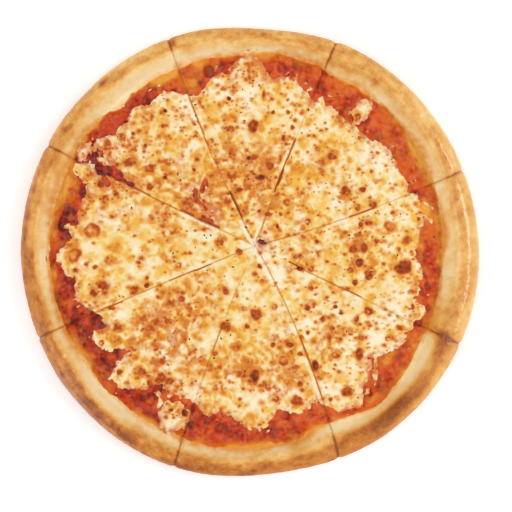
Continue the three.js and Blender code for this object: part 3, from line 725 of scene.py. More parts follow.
def gold_dots(fields):
    """Soft golden dots without a brown middle, where fat gathered between the curds."""
    maps = fields.maps
    random = np.random.default_rng(DOT_SEED)
    for _dot in range(GOLD_DOTS):
        angle, share, size_pick, strength = random.random(4)
        x, y = in_disc(DOT_REACH, angle, share)
        size = 2.2 + 3.6 * size_pick**1.6
        part, dx, dy = fields.window(x, y, size)
        dot = 1 - smooth(0.3, 1.3, bubble(dx, dy, size, size, 9 * strength))
        screen(maps["oil"], part, (0.08 + 0.26 * strength**1.5) * dot)
        maps["curd"][part] -= 0.14 * dot


def sauce_maps(fields):
    """Relief, darkness and orange tint of the sauce."""
    x, y = fields.x, fields.y
    pulp = ridged(x, y, 3.4, 42)
    lumps = 0.45 * rough(x, y, 6.0, 41) + 0.55 * pulp + 0.30 * noise(x, y, 1.6, 45)
    dark = 0.43 + 0.54 * rough(x, y, 7.0, 43) - 0.20 * pulp + 0.20 * noise(x, y, 2.2, 46)
    dark += swollen(fields.degrees, SAUCE_DARK_SWELLS)
    orange = 0.14 + 0.60 * rough(x, y, 5.0, 44)
    orange += swollen(fields.degrees, SAUCE_ORANGE_SWELLS)
    foot = smooth(-7.0, 0.0, fields.radius - rim_foot(fields.degrees))
    orange += 0.22 * foot * (1 + rough(x, y, 8.0, 47))
    for *spot, strength in OIL_POOLS:
        orange += strength * np.exp(-spot_share(fields.degrees, fields.radius, *spot))
    fields.maps["sauce_relief"] = lumps
    fields.maps["sauce_dark"] = np.clip(dark, 0, 1)
    fields.maps["sauce_orange"] = np.clip(orange, 0, 1.6)
    special_sauce(fields)


def special_sauce(fields):
    """Sets the listed pools: a turned oval whose relief is smooth and whose colour is its own."""
    relief = fields.maps["sauce_relief"]
    dark = fields.maps["sauce_dark"]
    orange = fields.maps["sauce_orange"]
    for x, y, width, depth, turn, rise, dark_tone, orange_tone in SAUCE_POOLS:
        part, dx, dy = fields.window(x, y, 0.8 * max(width, depth))
        angle = math.radians(turn)
        across = dx * math.cos(angle) + dy * math.sin(angle)
        along = dy * math.cos(angle) - dx * math.sin(angle)
        share = np.hypot(across / (0.5 * width), along / (0.5 * depth))
        body = 1 - smooth(0.7, 1.1, share)
        relief[part] = relief[part] * (1 - body) + body * rise * np.sqrt(np.clip(1 - 0.8 * share**2, 0, 1))
        mottle = 0.25 * (dark_tone > 0.5) * noise(fields.x[part], fields.y[part], 1.8, 48)
        dark[part] += body * (dark_tone + mottle - dark[part])
        orange[part] += body * (orange_tone - orange[part])


# ---- heights of the layers ----


def bread_top(degrees, radius):
    """Height of the bread: nearly flat inside the rim's foot, then rising to the crest as a smooth wave."""
    foot = rim_foot(degrees)
    width = outer_edge(degrees) - foot
    share = np.clip((radius - foot) / width, 0, 0.5) / 0.5
    floor = BREAD_MIDDLE + (BREAD_FOOT - BREAD_MIDDLE) * np.clip(radius / foot, 0, 1) ** 4
    crest = RIM_HEIGHT + swollen(degrees, CREST_SWELLS)
    return floor + (crest - BREAD_FOOT) * 0.5 * (1 - np.cos(math.pi * share**0.85))


SAUCE_THICK = 1.3
SAUCE_CLIMB = 0.4  # how far the sauce reaches up the rim


def sauce_line(degrees):
    """Distance from the middle at which the sauce runs out, a little above the rim's foot."""
    return rim_foot(degrees) + SAUCE_CLIMB + swollen(degrees, SAUCE_EDGE_SWELLS)


def inside_sauce(x, y):
    """How far in mm each place lies inside the sauce's line, made ragged."""
    degrees, radius = polar_of(x, y)
    return sauce_line(degrees) + 1.4 * rough(x, y, 9.0, 51) + 0.6 * rough(x, y, 2.6, 52) - radius


def sauce_top(fields, x, y):
    """Bread plus sauce, whose thickness falls to nothing in a ragged line on the rim's inner slope."""
    degrees, radius = polar_of(x, y)
    inside = inside_sauce(x, y)
    thick = SAUCE_THICK * (1 - np.exp(-np.clip(inside, 0, None) / 1.6)) + 0.9 * np.minimum(inside, 0)
    relief = fields.sample("sauce_relief", x, y) * smooth(0.0, 3.0, inside)
    return bread_top(degrees, radius) + np.maximum(thick, -1.2) + 1.1 * relief


CHEESE_THICK = 2.3
CHEESE_LIP = 1.9  # width of the rounded lip at the cheese's edge


def cheese_height(margin, x, y):
    """Thickness of the cheese: a quarter-ellipse lip at its edge, then gentle rises and falls."""
    share = np.clip(margin / CHEESE_LIP, 0, 1)
    lip = np.sqrt(np.clip(1 - (1 - share) ** 2, 0, 1))
    body = CHEESE_THICK + 0.5 * rough(x, y, 15.0, 61) + 0.35 * rough(x, y, 5.0, 62)
    sunk = 0.9 * np.clip(margin, -1.4, 0)
    return lip * np.maximum(body * (0.42 + 0.58 * smooth(0, 8, margin)), 0.5) + sunk


# ---- slices ----


def cut_pair(number):
    """The two cuts that bound a slice, the second one always further round."""
    first = CUTS[number]
    last = CUTS[(number + 1) % SLICES]
    turn = 360 if last[0] < first[0] else 0
    return first, (last[0] + turn, last[1])


class SlicePlan:
    """Where the points of one slice lie. A point is far (0 hub, 1 outer edge) along a bowed line whose end
    lies across (0 first cut, 1 next cut) the slice: hub + far (end - hub) + 4 bow far (1 - far) sideways."""

    def __init__(self, number, across, kerf):
        first, last = cut_pair(number)
        self.across = across
        self.kerf = kerf
        self.degrees = first[0] + (last[0] - first[0]) * across
        self.bow = first[1] + (last[1] - first[1]) * across
        reach = outer_edge(self.degrees)
        angle = np.radians(self.degrees)
        self.course = np.stack((reach * np.cos(angle), reach * np.sin(angle)), -1) - HUB
        length = np.linalg.norm(self.course, axis=-1)
        self.sideways = np.stack((-self.course[:, 1], self.course[:, 0]), -1) / length[:, None]
        self.width = math.radians(last[0] - first[0]) * length

    def far_at(self, radius):
        """Share along each line at which it is that far from the middle: a quadratic's larger root."""
        towards = self.course @ HUB
        square = (self.course**2).sum(-1)
        rest = towards**2 - square * (HUB @ HUB - radius**2)
        return (-towards + np.sqrt(np.maximum(rest, 0))) / square

    def points(self, far, kerf_share=1.0):
        """x and y of the points, as arrays of far's shape, drawn in from both cuts by half the kerf, or by
        a share of it."""
        swerve = 4 * self.bow * far * (1 - far) + (0.5 - self.across) * self.kerf * kerf_share
        x = HUB[0] + far * self.course[:, 0] + swerve * self.sideways[:, 0] - MIDDLE[0]
        y = HUB[1] + far * self.course[:, 1] + swerve * self.sideways[:, 1] - MIDDLE[1]
        return x, y

    def from_cut(self, far):
        """Distance in mm to the nearer of the two cuts."""
        return np.minimum(self.across, 1 - self.across) * self.width * far


TIP = 0.004  # the share of a slice that its tip falls short of the hub


def spaced(columns, crowding=0.12):
    """Numbers from 0 to 1, a little closer together at both ends."""
    even = np.linspace(0, 1, columns)
    return even - crowding * np.sin(2 * math.pi * even) / (2 * math.pi)


# ---- meshes ----


def quads_of(index):
    """Four-sided faces of a grid of vertex numbers."""
    corners = (index[:-1, :-1], index[1:, :-1], index[1:, 1:], index[:-1, 1:])
    return np.stack(corners, -1).reshape(-1, 4)


def without_doubles(quads):
    """Four-sided faces, parted into those with four corners of their own, and triangles made of those where
    two neighbouring corners are one vertex."""
    doubled = quads == np.roll(quads, -1, axis=1)
    halved = doubled.any(1)
    return quads[~halved], quads[halved][~doubled[halved]].reshape(-1, 3)


def make_mesh(name, points_mm, quads, triangles, attributes):
    """A mesh object from whole arrays. Points are in mm and the mesh is in metres."""
    mesh = bpy.data.meshes.new(name)
    mesh.vertices.add(len(points_mm))
    mesh.vertices.foreach_set("co", (points_mm * MM).astype(np.float32).ravel())
    corners = np.concatenate((quads.ravel(), triangles.ravel())).astype(np.int32)
    mesh.loops.add(len(corners))
    mesh.loops.foreach_set("vertex_index", corners)
    starts = np.concatenate(
        (np.arange(len(quads)) * 4, len(quads) * 4 + np.arange(len(triangles)) * 3)
    ).astype(np.int32)
    mesh.polygons.add(len(starts))
    mesh.polygons.foreach_set("loop_start", starts)
    mesh.update(calc_edges=True)
    mesh.validate()
    mesh.polygons.foreach_set("use_smooth", np.ones(len(mesh.polygons), bool))
    mesh.set_sharp_from_angle(angle=math.radians(55))
    for label, values in attributes.items():
        layer = mesh.attributes.new(label, "FLOAT", "POINT")
        layer.data.foreach_set("value", np.asarray(values, np.float32).ravel())
    piece = bpy.data.objects.new(name, mesh)
    bpy.context.scene.collection.objects.link(piece)
    return piece


def sheet_solid(name, x, y, z, floor, attributes, wall_rows=3):
    """A closed body from a grid of top points: walls go down from its four edges to the floor height, and a
    fan closes the underside. Attributes are grids like z; walls repeat what lies above them."""
    rows, columns = z.shape
    index = np.arange(rows * columns).reshape(rows, columns)
    edge = np.concatenate((index[0, :-1], index[:-1, -1], index[-1, :0:-1], index[:0:-1, 0]))
    top = np.stack((x, y, z), -1).reshape(-1, 3)
    points = [top]
    ring = edge
    quads = [quads_of(index)]
    count = len(top)
    for row in range(1, wall_rows + 1):
        share = row / wall_rows
        wall = top[edge].copy()
        wall[:, 2] = wall[:, 2] * (1 - share) + floor * share
        below = np.arange(count, count + len(edge))
        quads.append(np.stack((ring, np.roll(ring, -1), np.roll(below, -1), below), -1))
        points.append(wall)
        ring = below
        count += len(edge)
    middle = points[-1].mean(0)
    points.append(middle[None])
    fan = np.stack((ring, np.roll(ring, -1), np.full(len(ring), count)), -1)
    carried = {}
    for label, values in attributes.items():
        flat = np.asarray(values, float).reshape(-1)
        repeats = [flat] + [flat[edge]] * wall_rows + [np.array([flat.mean()])]
        carried[label] = np.concatenate(repeats)
    return make_mesh(name, np.concatenate(points), np.concatenate(quads), fan, carried)


def pushed_out(points, amount):
    """A grid of points moved outwards along its own normals, which are crosses of its two slopes."""
    down = np.gradient(points, axis=0)
    along = np.gradient(points, axis=1)
    normal = np.cross(along, down)
    normal /= np.maximum(np.linalg.norm(normal, axis=-1, keepdims=True), 1e-9)
    return points + normal * amount[..., None]


def finish_piece(piece, material, nodes):
    """What every piece needs: its finish, its body and the nodes it stands for."""
    piece.data.materials.append(material)
    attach(piece, "root")
    if nodes:
        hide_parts(*nodes)


# ---- materials ----


def linear(red, green, blue):
    """A colour given in display values of 0 to 255, as the linear values that shaders take."""
    share = np.array((red, green, blue)) / 255
    low = share / 12.92
    high = ((share + 0.055) / 1.055) ** 2.4
    return tuple(np.where(share <= 0.04045, low, high))


def opaque(value):
    """A colour of three numbers with an alpha of 1 added. Anything else stays as it is."""
    return (*value, 1.0) if isinstance(value, tuple) and len(value) == 3 else value


class Shader:
    """A material being wired up: one Principled surface, and a method for each kind of node that feeds it.
    A method gives back its node's output socket. Sizes are in mm, and object coordinates in metres."""

    def __init__(self, name):
        self.material = bpy.data.materials.new(name)
        self.material.use_nodes = True
        self.tree = self.material.node_tree
        self.tree.nodes.clear()
        self.surface = self.node("BsdfPrincipled")
        self.feed(self.node("OutputMaterial").inputs["Surface"], self.surface.outputs["BSDF"])
        self.place = self.node("TexCoord").outputs["Object"]

    def node(self, kind, inputs=None, **options):
        """Adds a node, sets its options, and feeds the inputs that are named or numbered."""
        added = self.tree.nodes.new(f"ShaderNode{kind}")
        for label, option in options.items():
            setattr(added, label, option)
        for label, value in (inputs or {}).items():
            self.feed(added.inputs[label], value)
        return added

    def feed(self, socket, value):
        """Joins a socket to another one, or sets it to a plain value."""
        if isinstance(value, bpy.types.NodeSocket):
            self.tree.links.new(value, socket)
        else:
            socket.default_value = value

    def set(self, label, value):
        """Feeds an input of the surface."""
        self.feed(self.surface.inputs[label], value if "Radius" in label else opaque(value))

    def attribute(self, label):
        return self.node("Attribute", attribute_name=label).outputs["Fac"]

    def noise(self, size_mm, detail=3.0, roughness=0.55, distortion=0.0):
        return self.node("TexNoise", {
            "Vector": self.place, "Scale": 1000.0 / size_mm, "Detail": detail, "Roughness": roughness,
            "Distortion": distortion,
        }).outputs["Fac"]

    def cells(self, size_mm):
        return self.node("TexVoronoi", {"Vector": self.place, "Scale": 1000.0 / size_mm}).outputs["Distance"]

    def math(self, operation, first, second=0.0, third=0.5):
        return self.node("Math", {0: first, 1: second, 2: third}, operation=operation).outputs[0]

    def spread(self, value, low, high, to_low, to_high):
        """A value's range moved onto another range, and kept inside it."""
        return self.node("MapRange", {
            "Value": value, "From Min": low, "From Max": high, "To Min": to_low, "To Max": to_high,
        }).outputs["Result"]

    def ramp(self, value, stops):
        """Colours along a value: stops are pairs of position and linear colour."""
        node = self.node("ValToRGB", {"Fac": value})
        band = node.color_ramp
        while len(band.elements) > 1:
            band.elements.remove(band.elements[-1])
        for index, (position, colour) in enumerate(stops):
            stop = band.elements[0] if index == 0 else band.elements.new(position)
            stop.position = position
            stop.color = (*colour, 1.0)
        return node.outputs["Color"]

    def mix(self, share, first, second):
        """One colour blended into another. Sockets 6 and 7 are the node's two colours, and 2 its result."""
        inputs = {"Factor": share, 6: opaque(first), 7: opaque(second)}
        return self.node("Mix", inputs, data_type="RGBA", clamp_factor=True).outputs[2]

    def bump(self, height, depth_mm, strength=1.0, under=None):
        """A normal from a height. It lies on top of another bump where one is given."""
        inputs = {"Strength": strength, "Distance": depth_mm * MM, "Height": height}
        if under is not None:
            inputs["Normal"] = under
        return self.node("Bump", inputs).outputs["Normal"]


def crust_material(look):
    """Baked dough: pale, golden or brown by the toast attribute, orange where oil soaked in, with an oily
    glaze, and pale porous crumb at the cuts."""
    shader = Shader("baked crust")
    toast = shader.attribute("toast")
    speckle = shader.noise(1.6, 4.0, 0.6)
    grain = shader.math("MULTIPLY_ADD", speckle, 0.28, -0.14)
    value = shader.math("ADD", toast, grain)
    baked = shader.ramp(value, (
        (0.0, linear(255, 236, 188)), (0.18, tuple(look.pale)), (0.42, tuple(look.golden)),
        (0.64, tuple(look.brown)), (0.84, linear(158, 80, 20)), (1.0, linear(84, 42, 14)),
    ))
    soaked = shader.mix(shader.attribute("oil"), baked, linear(230, 150, 44))
    pores = shader.spread(shader.cells(1.4), 0.15, 0.55, 1.0, 0.0)
    crumb_colour = shader.mix(pores, linear(246, 226, 182), linear(206, 164, 104))
    inside = shader.mix(shader.attribute("crumb"), soaked, crumb_colour)
    shader.set("Base Color", inside)
    glaze = shader.attribute("glaze")
    fine = shader.noise(0.9, 3.0)
    shader.set("Roughness", shader.math("MULTIPLY_ADD", fine, 0.14, 0.46))
    shader.set("Coat Weight", glaze)
    shader.set("Coat Roughness", shader.spread(fine, 0.3, 0.7, 0.08, 0.2))
    shader.set("Coat Tint", (1.0, 0.96, 0.88))
    shader.set("Specular IOR Level", 0.35)
    shader.set("Subsurface Weight", 0.08)
    shader.set("Subsurface Radius", (1.0, 0.55, 0.25))
    shader.set("Subsurface Scale", 0.002)
    wrinkles = shader.bump(shader.noise(3.5, 3.0, 0.55, 0.4), 0.5, 0.5)
    skin = shader.bump(fine, 0.12, 0.7, wrinkles)
    shader.set("Normal", skin)
    return shader.material


def sauce_material(look):
    """Cooked tomato: dark, bright or orange by its attributes, wet all over."""
    shader = Shader("tomato sauce")
    pulp = shader.noise(2.2, 4.0, 0.6, 0.3)
    depth = shader.math("MULTIPLY_ADD", pulp, 0.5, -0.25)
    dark = shader.math("ADD", shader.attribute("dark"), depth)
    red = shader.ramp(dark, (
        (0.0, linear(216, 92, 22)), (0.35, tuple(look.bright)), (0.7, tuple(look.deep)),
        (1.0, linear(96, 16, 4)),
    ))
    orange = shader.attribute("orange")
    tinted = shader.mix(shader.spread(orange, 0.3, 1.0, 0.0, 0.9), red, linear(218, 118, 22))
    runny = shader.mix(shader.spread(orange, 0.9, 1.5, 0.0, 0.9), tinted, linear(236, 166, 60))
    shader.set("Base Color", runny)
    shader.set("Roughness", shader.spread(shader.noise(1.2, 2.0), 0.3, 0.7, 0.14, 0.34))
    shader.set("Specular IOR Level", 0.08)
    shader.set("Coat Weight", shader.spread(shader.noise(3.0, 2.0), 0.44, 0.56, 0.1, 1.0))
    shader.set("Coat Roughness", 0.06)
    shader.set("Coat Normal", shader.bump(shader.noise(1.8, 3.0, 0.6), 1.8, 1.0))
    shader.set("Subsurface Weight", 0.03)
    shader.set("Subsurface Radius", (1.0, 0.25, 0.1))
    shader.set("Subsurface Scale", 0.0015)
    shader.set("Normal", shader.bump(shader.noise(1.4, 4.0), 0.6, 1.0))
    return shader.material


def cheese_material(look):
    """Melted cheese: amber, cream or white by the curd attribute, stained by oil and tomato, and browned."""
    shader = Shader("melted cheese")
    fine = shader.noise(1.3, 4.0, 0.6)
    drift = shader.math("MULTIPLY_ADD", fine, 0.22, -0.11)
    milky = shader.math("ADD", shader.attribute("curd"), drift)
    body = shader.ramp(milky, (
        (0.0, tuple(look.amber)), (0.3, linear(242, 202, 116)), (0.55, tuple(look.cream)),
        (1.0, tuple(look.white)),
    ))
    oil = shader.math("ADD", shader.attribute("oil"), shader.math("MULTIPLY", drift, 0.6))
    stain_colour = shader.ramp(oil, (
        (0.08, linear(248, 220, 132)), (0.3, linear(244, 198, 88)), (0.52, linear(235, 166, 56)),
        (0.75, tuple(look.oil)), (1.0, linear(202, 98, 22)),
    ))
    taken_up = shader.spread(milky, 0.35, 1.0, 0.96, 0.42)
    soaked = shader.math("MULTIPLY", shader.spread(oil, 0.04, 0.6, 0.0, 1.0), taken_up)
    stained = shader.mix(soaked, body, stain_colour)
    tomato = shader.spread(shader.math("ADD", shader.attribute("tomato"), drift), 0.15, 0.9, 0.0, 0.8)
    reddened = shader.mix(tomato, stained, linear(206, 88, 34))
    toast = shader.math("ADD", shader.attribute("toast"), shader.math("MULTIPLY", drift, 0.35))
    brown = shader.ramp(toast, (
        (0.2, linear(230, 156, 48)), (0.42, linear(212, 114, 26)), (0.6, tuple(look.brown)),
        (0.8, linear(134, 52, 12)), (1.0, linear(60, 20, 8)),
    ))
    shader.set("Base Color", shader.mix(shader.spread(toast, 0.05, 0.50, 0.0, 1.0), reddened, brown))
    shader.set("Roughness", shader.spread(shader.noise(2.4, 3.0), 0.3, 0.7, 0.26, 0.50))
    shader.set("Specular IOR Level", 0.12)
    shader.set("Coat Weight", shader.spread(oil, 0.1, 0.7, 0.10, 0.32))
    shader.set("Coat Roughness", 0.12)
    shader.set("Coat Normal", shader.bump(shader.noise(1.6, 3.0, 0.6), 0.8, 0.9))
    shader.set("Subsurface Weight", 0.05)
    shader.set("Subsurface Radius", (1.0, 0.6, 0.3))
    shader.set("Subsurface Scale", 0.001)
    shader.set("Normal", shader.bump(shader.noise(1.0, 3.0), 0.3, 0.8))
    return shader.material


def herb_material(look):
    """Dried leaves: dark olive to nearly black."""
    shader = Shader("dried herbs")
    leaf = shader.ramp(shader.noise(1.0), ((0.3, linear(44, 30, 8)), (0.75, tuple(look.leaf))))
    shader.set("Base Color", leaf)
    shader.set("Specular IOR Level", 0.1)
    shader.set("Roughness", shader.spread(shader.noise(0.6), 0.3, 0.7, 0.5, 0.8))
    shader.set("Normal", shader.bump(shader.noise(0.4), 0.05, 0.6))
    return shader.material


def floor_material(look):
    """A matt pale table top with the faintest mottling, which also glows: its own light brightens it, thins
    the pizza's shadow and lights the pizza from below.
    """
    shader = Shader("pale floor")
    shaded = tuple(0.985 * channel for channel in look.floor)
    shader.set("Base Color", shader.mix(shader.noise(60.0), tuple(look.floor), shaded))
    shader.set("Roughness", 0.9)
    shader.set("Emission Color", (1.0, 1.0, 1.0))
    shader.set("Emission Strength", look.glow)
    return shader.material


# ---- the pieces ----


def rim_profile():
    """Rows over the rim's outer half, as two ellipse quarters: from where the underside leaves the table out
    to the waist, then from the waist up to the crest. Each gives shares of the rim's width and its rise."""
    turn = np.linspace(0, math.pi / 2, WAIST_ROWS)
    under = (UNDER_FLAT + (1 - UNDER_FLAT) * np.sin(turn), 1 - np.cos(turn))
    turn = np.linspace(math.pi / 2, 0, OVER_ROWS)
    over = (0.5 + 0.5 * np.sin(turn), np.cos(turn))
    return under, over


# The bread's grid: columns across a slice, then rows along the flat underside, up to the waist, over the
# rim's outer half, down its inner slope, and back to the tip. Rim rows count both of their ends.
CRUST_COLUMNS = 200
FLAT_ROWS = 13
WAIST_ROWS = 16
OVER_ROWS = 26
SLOPE_ROWS = 30
INNER_ROWS = 18
WAIST_ROW = FLAT_ROWS + WAIST_ROWS - 1

# The rim's noise is laid out in mm: round the rim at this radius, and across it over this width, with the
# top this far from the underside.
NOISE_RADIUS = 140
NOISE_ACROSS = 24
NOISE_APART = 40


def crust_slice(number, look, material):
    """One slice's bread. Rows run from the tip along the underside, round the rim and back along the top to
    the tip, each column being one bowed line from the hub; two walls close it at the cuts. A row holds how
    far out its points lie, their height, and their share of the rim's width."""
    across = spaced(CRUST_COLUMNS)
    plan = SlicePlan(number, across, look.kerf / MM)
    degrees = plan.degrees
    foot = rim_foot(degrees)
    width = outer_edge(degrees) - foot
    crest = RIM_HEIGHT + swollen(degrees, CREST_SWELLS)
    foot_far = plan.far_at(foot)
    under, over = rim_profile()
    rows = []
    flat_far = plan.far_at(foot + UNDER_FLAT * width)
    for step in np.linspace(0, 1, FLAT_ROWS + 1)[:-1]:
        rows.append((TIP + (flat_far - TIP) * step, 0.0, -1.0))
    for share, rise in zip(*under):
        rows.append((plan.far_at(foot + share * width), RIM_WAIST * rise, share))
    for share, rise in zip(over[0][1:], over[1][1:]):
        rows.append((plan.far_at(foot + share * width), RIM_WAIST + (crest - RIM_WAIST) * rise, share))
    for share in np.linspace(0.5, 0.0, SLOPE_ROWS)[1:]:
        radius = foot + share * width
        rows.append((plan.far_at(radius), bread_top(degrees, radius), share))
    for step in np.linspace(0, 1, INNER_ROWS + 1)[1:]:
        far = foot_far + (TIP - foot_far) * step
        rows.append((far, bread_top(*polar_of(*plan.points(far))), -0.01))
    grids = [np.broadcast_arrays(*row, degrees)[:3] for row in rows]
    far, z, share = (np.array(column) for column in zip(*grids))
    kerf_share = np.interp(np.arange(len(far)), (WAIST_ROW, WAIST_ROW + 10), (0.1, 1.0))
    x, y = plan.points(far, kerf_share[:, None])
    build_crust(number, plan, far, x, y, z, share, material)


def build_crust(number, plan, far, x, y, z, share, material):
    """Relief, attributes and walls of one slice's bread. Share is how far across the rim a point lies, from
    0 at its foot to 1 at its outer edge, and less than zero under and inside the rim."""
    degrees, radius = polar_of(x, y)
    degrees = np.where(np.abs(degrees - plan.degrees) > 180, degrees + 360, degrees)
    rows = np.arange(len(z))[:, None]
    on_top = rows >= WAIST_ROW
    round_mm = np.radians(degrees) * NOISE_RADIUS
    over_mm = np.where(on_top, NOISE_APART - share * NOISE_ACROSS, share * NOISE_ACROSS)
    on_rim = smooth(0.02, 0.25, share)
    lumps = 0.75 * rough(round_mm, over_mm, 26.0, 71) + 0.35 * rough(round_mm, over_mm, 9.0, 72)
    lumps = lumps * (1 - swollen(degrees, EVEN_SHAPE_SWELLS)) * (1 - 0.6 * smooth(0.70, 0.98, share))
    pimples = 0.16 * rough(round_mm, over_mm, 2.6, 73)
    from_cut = plan.from_cut(far)
    shoulder = -0.9 * np.exp(-((from_cut / 1.5) ** 2))
    spots = np.zeros_like(z)
    broken = 1 + 0.4 * noise(round_mm, over_mm, 2.5, 74)
    for *spot, tone in RIM_SPOTS:
        spots += 0.78 * tone * np.exp(-(spot_share(degrees, radius, *spot) * broken)) * on_top
    points = np.stack((x, y, z), -1)
    relief = on_rim * (lumps + pimples + 0.8 * spots) + on_rim * shoulder
    relief = np.where(z <= 0.001, 0, relief)
    points = pushed_out(points, relief)
    points[..., 2] = np.maximum(points[..., 2], 0)
    toast = rim_toast(degrees, share, on_top, round_mm, over_mm) + spots
    # painted shade: a soft brown line along each cut stands in for the shade in the cut's crease
    toast = toast + (0.30 + 0.14 * rough(x, y, 7.0, 79)) * np.exp(-((from_cut / 0.8) ** 2))
    under = (share < -0.5) | ((~on_top) & (share < 0.75))
    under_toast = 0.42 + 0.28 * rough(x, y, 12.0, 75) + 0.22 * rough(x, y, 4.0, 76)
    toast = np.minimum(np.where(under, under_toast, toast), DARKEST_TOAST)
    soaked_reach = 1.6 + swollen(degrees, SOAKED_SWELLS)
    above_sauce = radius - sauce_line(degrees)
    soak_edge = soaked_reach * (1 + 0.5 * rough(x, y, 4.0, 77))
    oil = on_top * (1 - smooth(0.0, 1.0, above_sauce / np.maximum(soak_edge, 0.3)))
    oil = oil * np.clip(0.85 + 0.5 * rough(x, y, 2.4, 80), 0, 1)
    glaze = swollen(degrees, GLAZE_SWELLS)
    glaze = glaze * on_top * smooth(-0.9, 0.0, rough(round_mm, over_mm, 16.0, 78))
    glaze = np.clip(glaze + 0.3 * oil, 0, 1)
    maps = {"toast": toast, "oil": oil, "glaze": glaze, "crumb": np.zeros_like(z)}
    piece = crust_solid(f"crust_slice_{number + 1}", points, maps)
    finish_piece(piece, material, [f"crust_{number + 1}"])


def rim_toast(degrees, share, on_top, round_mm, over_mm):
    """How brown the rim is: pale on the inner slope, golden over the crest and browner outside, more or less
    so with the direction as the swells say, and streaked."""
    across = 0.02 + 0.40 * smooth(0.14, 0.60, share) + 0.08 * smooth(0.62, 1.0, share)
    around = swollen(degrees, RIM_BROWN_SWELLS)
    outside = swollen(degrees, RIM_OUTSIDE_SWELLS) * smooth(0.60, 0.85, share)
    inside = swollen(degrees, RIM_INSIDE_SWELLS)
    inside = inside * (1 - smooth(0.3, 0.5, share))
    inside += swollen(degrees, RIM_BROWNER_SWELLS) * smooth(0.2, 0.34, share)
    inside -= swollen(degrees, RIM_LIGHTER_SWELLS) * smooth(0.35, 0.6, share)
    crest = swollen(degrees, RIM_CREST_SWELLS)
    inside += crest * np.exp(-(((share - 0.40) / 0.16) ** 2))
    paler = swollen(degrees, RIM_PALE_SWELLS)
    inside -= paler * (1 - smooth(0.3, 0.5, share))
    streaks = 0.14 * rough(round_mm, over_mm * 1.8, 11.0, 81) + 0.12 * rough(round_mm, over_mm, 3.4, 82)
    streaks *= 1 - swollen(degrees, EVEN_TONE_SWELLS)
    side = np.where(on_top, 0.0, 0.08)
    return across + around * smooth(0.25, 0.55, share) + inside + outside + streaks + side


CUT_FACE = {"crumb": 1.0, "toast": 0.3}  # what a cut shows: plain crumb, a little toasted
RUNGS = 7  # points of the wall between an underside point and its top point


def crust_solid(name, points, maps):
    """Closes the wrapped bread grid: the tip is joined across, and each cut gets a flat wall of rungs that go
    straight from the underside to the top."""
    rows, columns, _three = points.shape
    index = np.arange(rows * columns).reshape(rows, columns)
    looped = np.concatenate((index, index[:1]))
    quads = [quads_of(looped)[:, ::-1]]
    vertices = [points.reshape(-1, 3)]
    values = {label: [grid.reshape(-1)] for label, grid in maps.items()}
    count = rows * columns
    triangles = []
    for column, flip in ((0, False), (columns - 1, True)):
        ladder, fan, added = cut_wall(points, index, column, count)
        quads.append(ladder[:, ::-1] if flip else ladder)
        triangles.append(fan[:, ::-1] if flip else fan)
        vertices.append(added)
        count += len(added)
        for label in values:
            values[label].append(np.full(len(added), CUT_FACE.get(label, 0.0)))
    merged = {label: np.concatenate(parts) for label, parts in values.items()}
    return make_mesh(name, np.concatenate(vertices), np.concatenate(quads), np.concatenate(triangles), merged)


def cut_wall(points, index, column, count):
    """The wall at one cut. Its outline is the column's own points, underside first. Each underside point is
    joined to the top point that faces it by a rung of new points, and a fan closes each end."""
    top_rows = np.arange(len(points) - 1, WAIST_ROW, -1)
    low_rows = np.arange(0, WAIST_ROW)
    steps = max(len(top_rows), len(low_rows))
    low_rows = low_rows[np.round(np.linspace(0, len(low_rows) - 1, steps)).astype(int)][1:]
    top_rows = top_rows[np.round(np.linspace(0, len(top_rows) - 1, steps)).astype(int)][1:]
    share = np.linspace(0, 1, RUNGS + 2)[None, 1:-1, None]
    between = points[low_rows, column][:, None] * (1 - share) + points[top_rows, column][:, None] * share
    rungs = count + np.arange((steps - 1) * RUNGS).reshape(steps - 1, RUNGS)
    low = index[low_rows, column][:, None]
    top = index[top_rows, column][:, None]
    ladder = np.concatenate((low, rungs, top), 1)
    quads, halved = without_doubles(quads_of(ladder))
    chain = np.append(ladder[0], index[-1, column])
    tip_fan = np.stack((chain[:-1], chain[1:], np.full(len(chain) - 1, index[0, column])), -1)
    tip_fan = tip_fan[tip_fan[:, 0] != tip_fan[:, 2]]
    last = ladder[-1]
    waist_fan = np.stack((last[1:], last[:-1], np.full(len(last) - 1, index[WAIST_ROW, column])), -1)
    return quads, np.concatenate((halved, tip_fan, waist_fan)), between.reshape(-1, 3)


# The sauce's grid: columns, then rows inside and outside a ring, as most of the sauce shows outside it.
SAUCE_COLUMNS = 126
SAUCE_RING = 94.0
SAUCE_INNER_ROWS = 43
SAUCE_OUTER_ROWS = 74


def sauce_slice(number, fields, look, material):
    """One slice's sauce: a sheet over the bread that runs out on the rim's inner slope."""
    across = spaced(SAUCE_COLUMNS)
    plan = SlicePlan(number, across, look.kerf / MM)
    edge_far = plan.far_at(rim_foot(plan.degrees) + SAUCE_CLIMB + 2.6)
    ring_far = plan.far_at(np.full_like(plan.degrees, SAUCE_RING))
    inner = np.linspace(0, 1, SAUCE_INNER_ROWS + 1)[:-1, None]
    outer = np.linspace(0, 1, SAUCE_OUTER_ROWS)[:, None]
    far = np.concatenate((TIP + (ring_far - TIP) * inner, ring_far + (edge_far - ring_far) * outer))
    x, y = plan.points(far)
    from_cut = plan.from_cut(far)
    z = sauce_top(fields, x, y) - 0.5 * np.exp(-((from_cut / 1.0) ** 2))
    # painted shade: the sauce is darker along each cut, where the crease is in shade
    maps = {"dark": fields.sample("sauce_dark", x, y) + 0.25 * np.exp(-((from_cut / 1.2) ** 2))}
    fade = np.exp(-np.clip(inside_sauce(x, y), 0, None) / 1.3)
    maps["orange"] = fields.sample("sauce_orange", x, y) + 0.9 * fade
    maps["dark"] -= 0.3 * fade
    piece = sheet_solid(f"sauce_slice_{number + 1}", x, y, z, BREAD_MIDDLE - 0.8, maps)
    finish_piece(piece, material, [f"sauce_{number + 1}"])


CHEESE_COLUMNS = 264
CHEESE_ROWS = 284


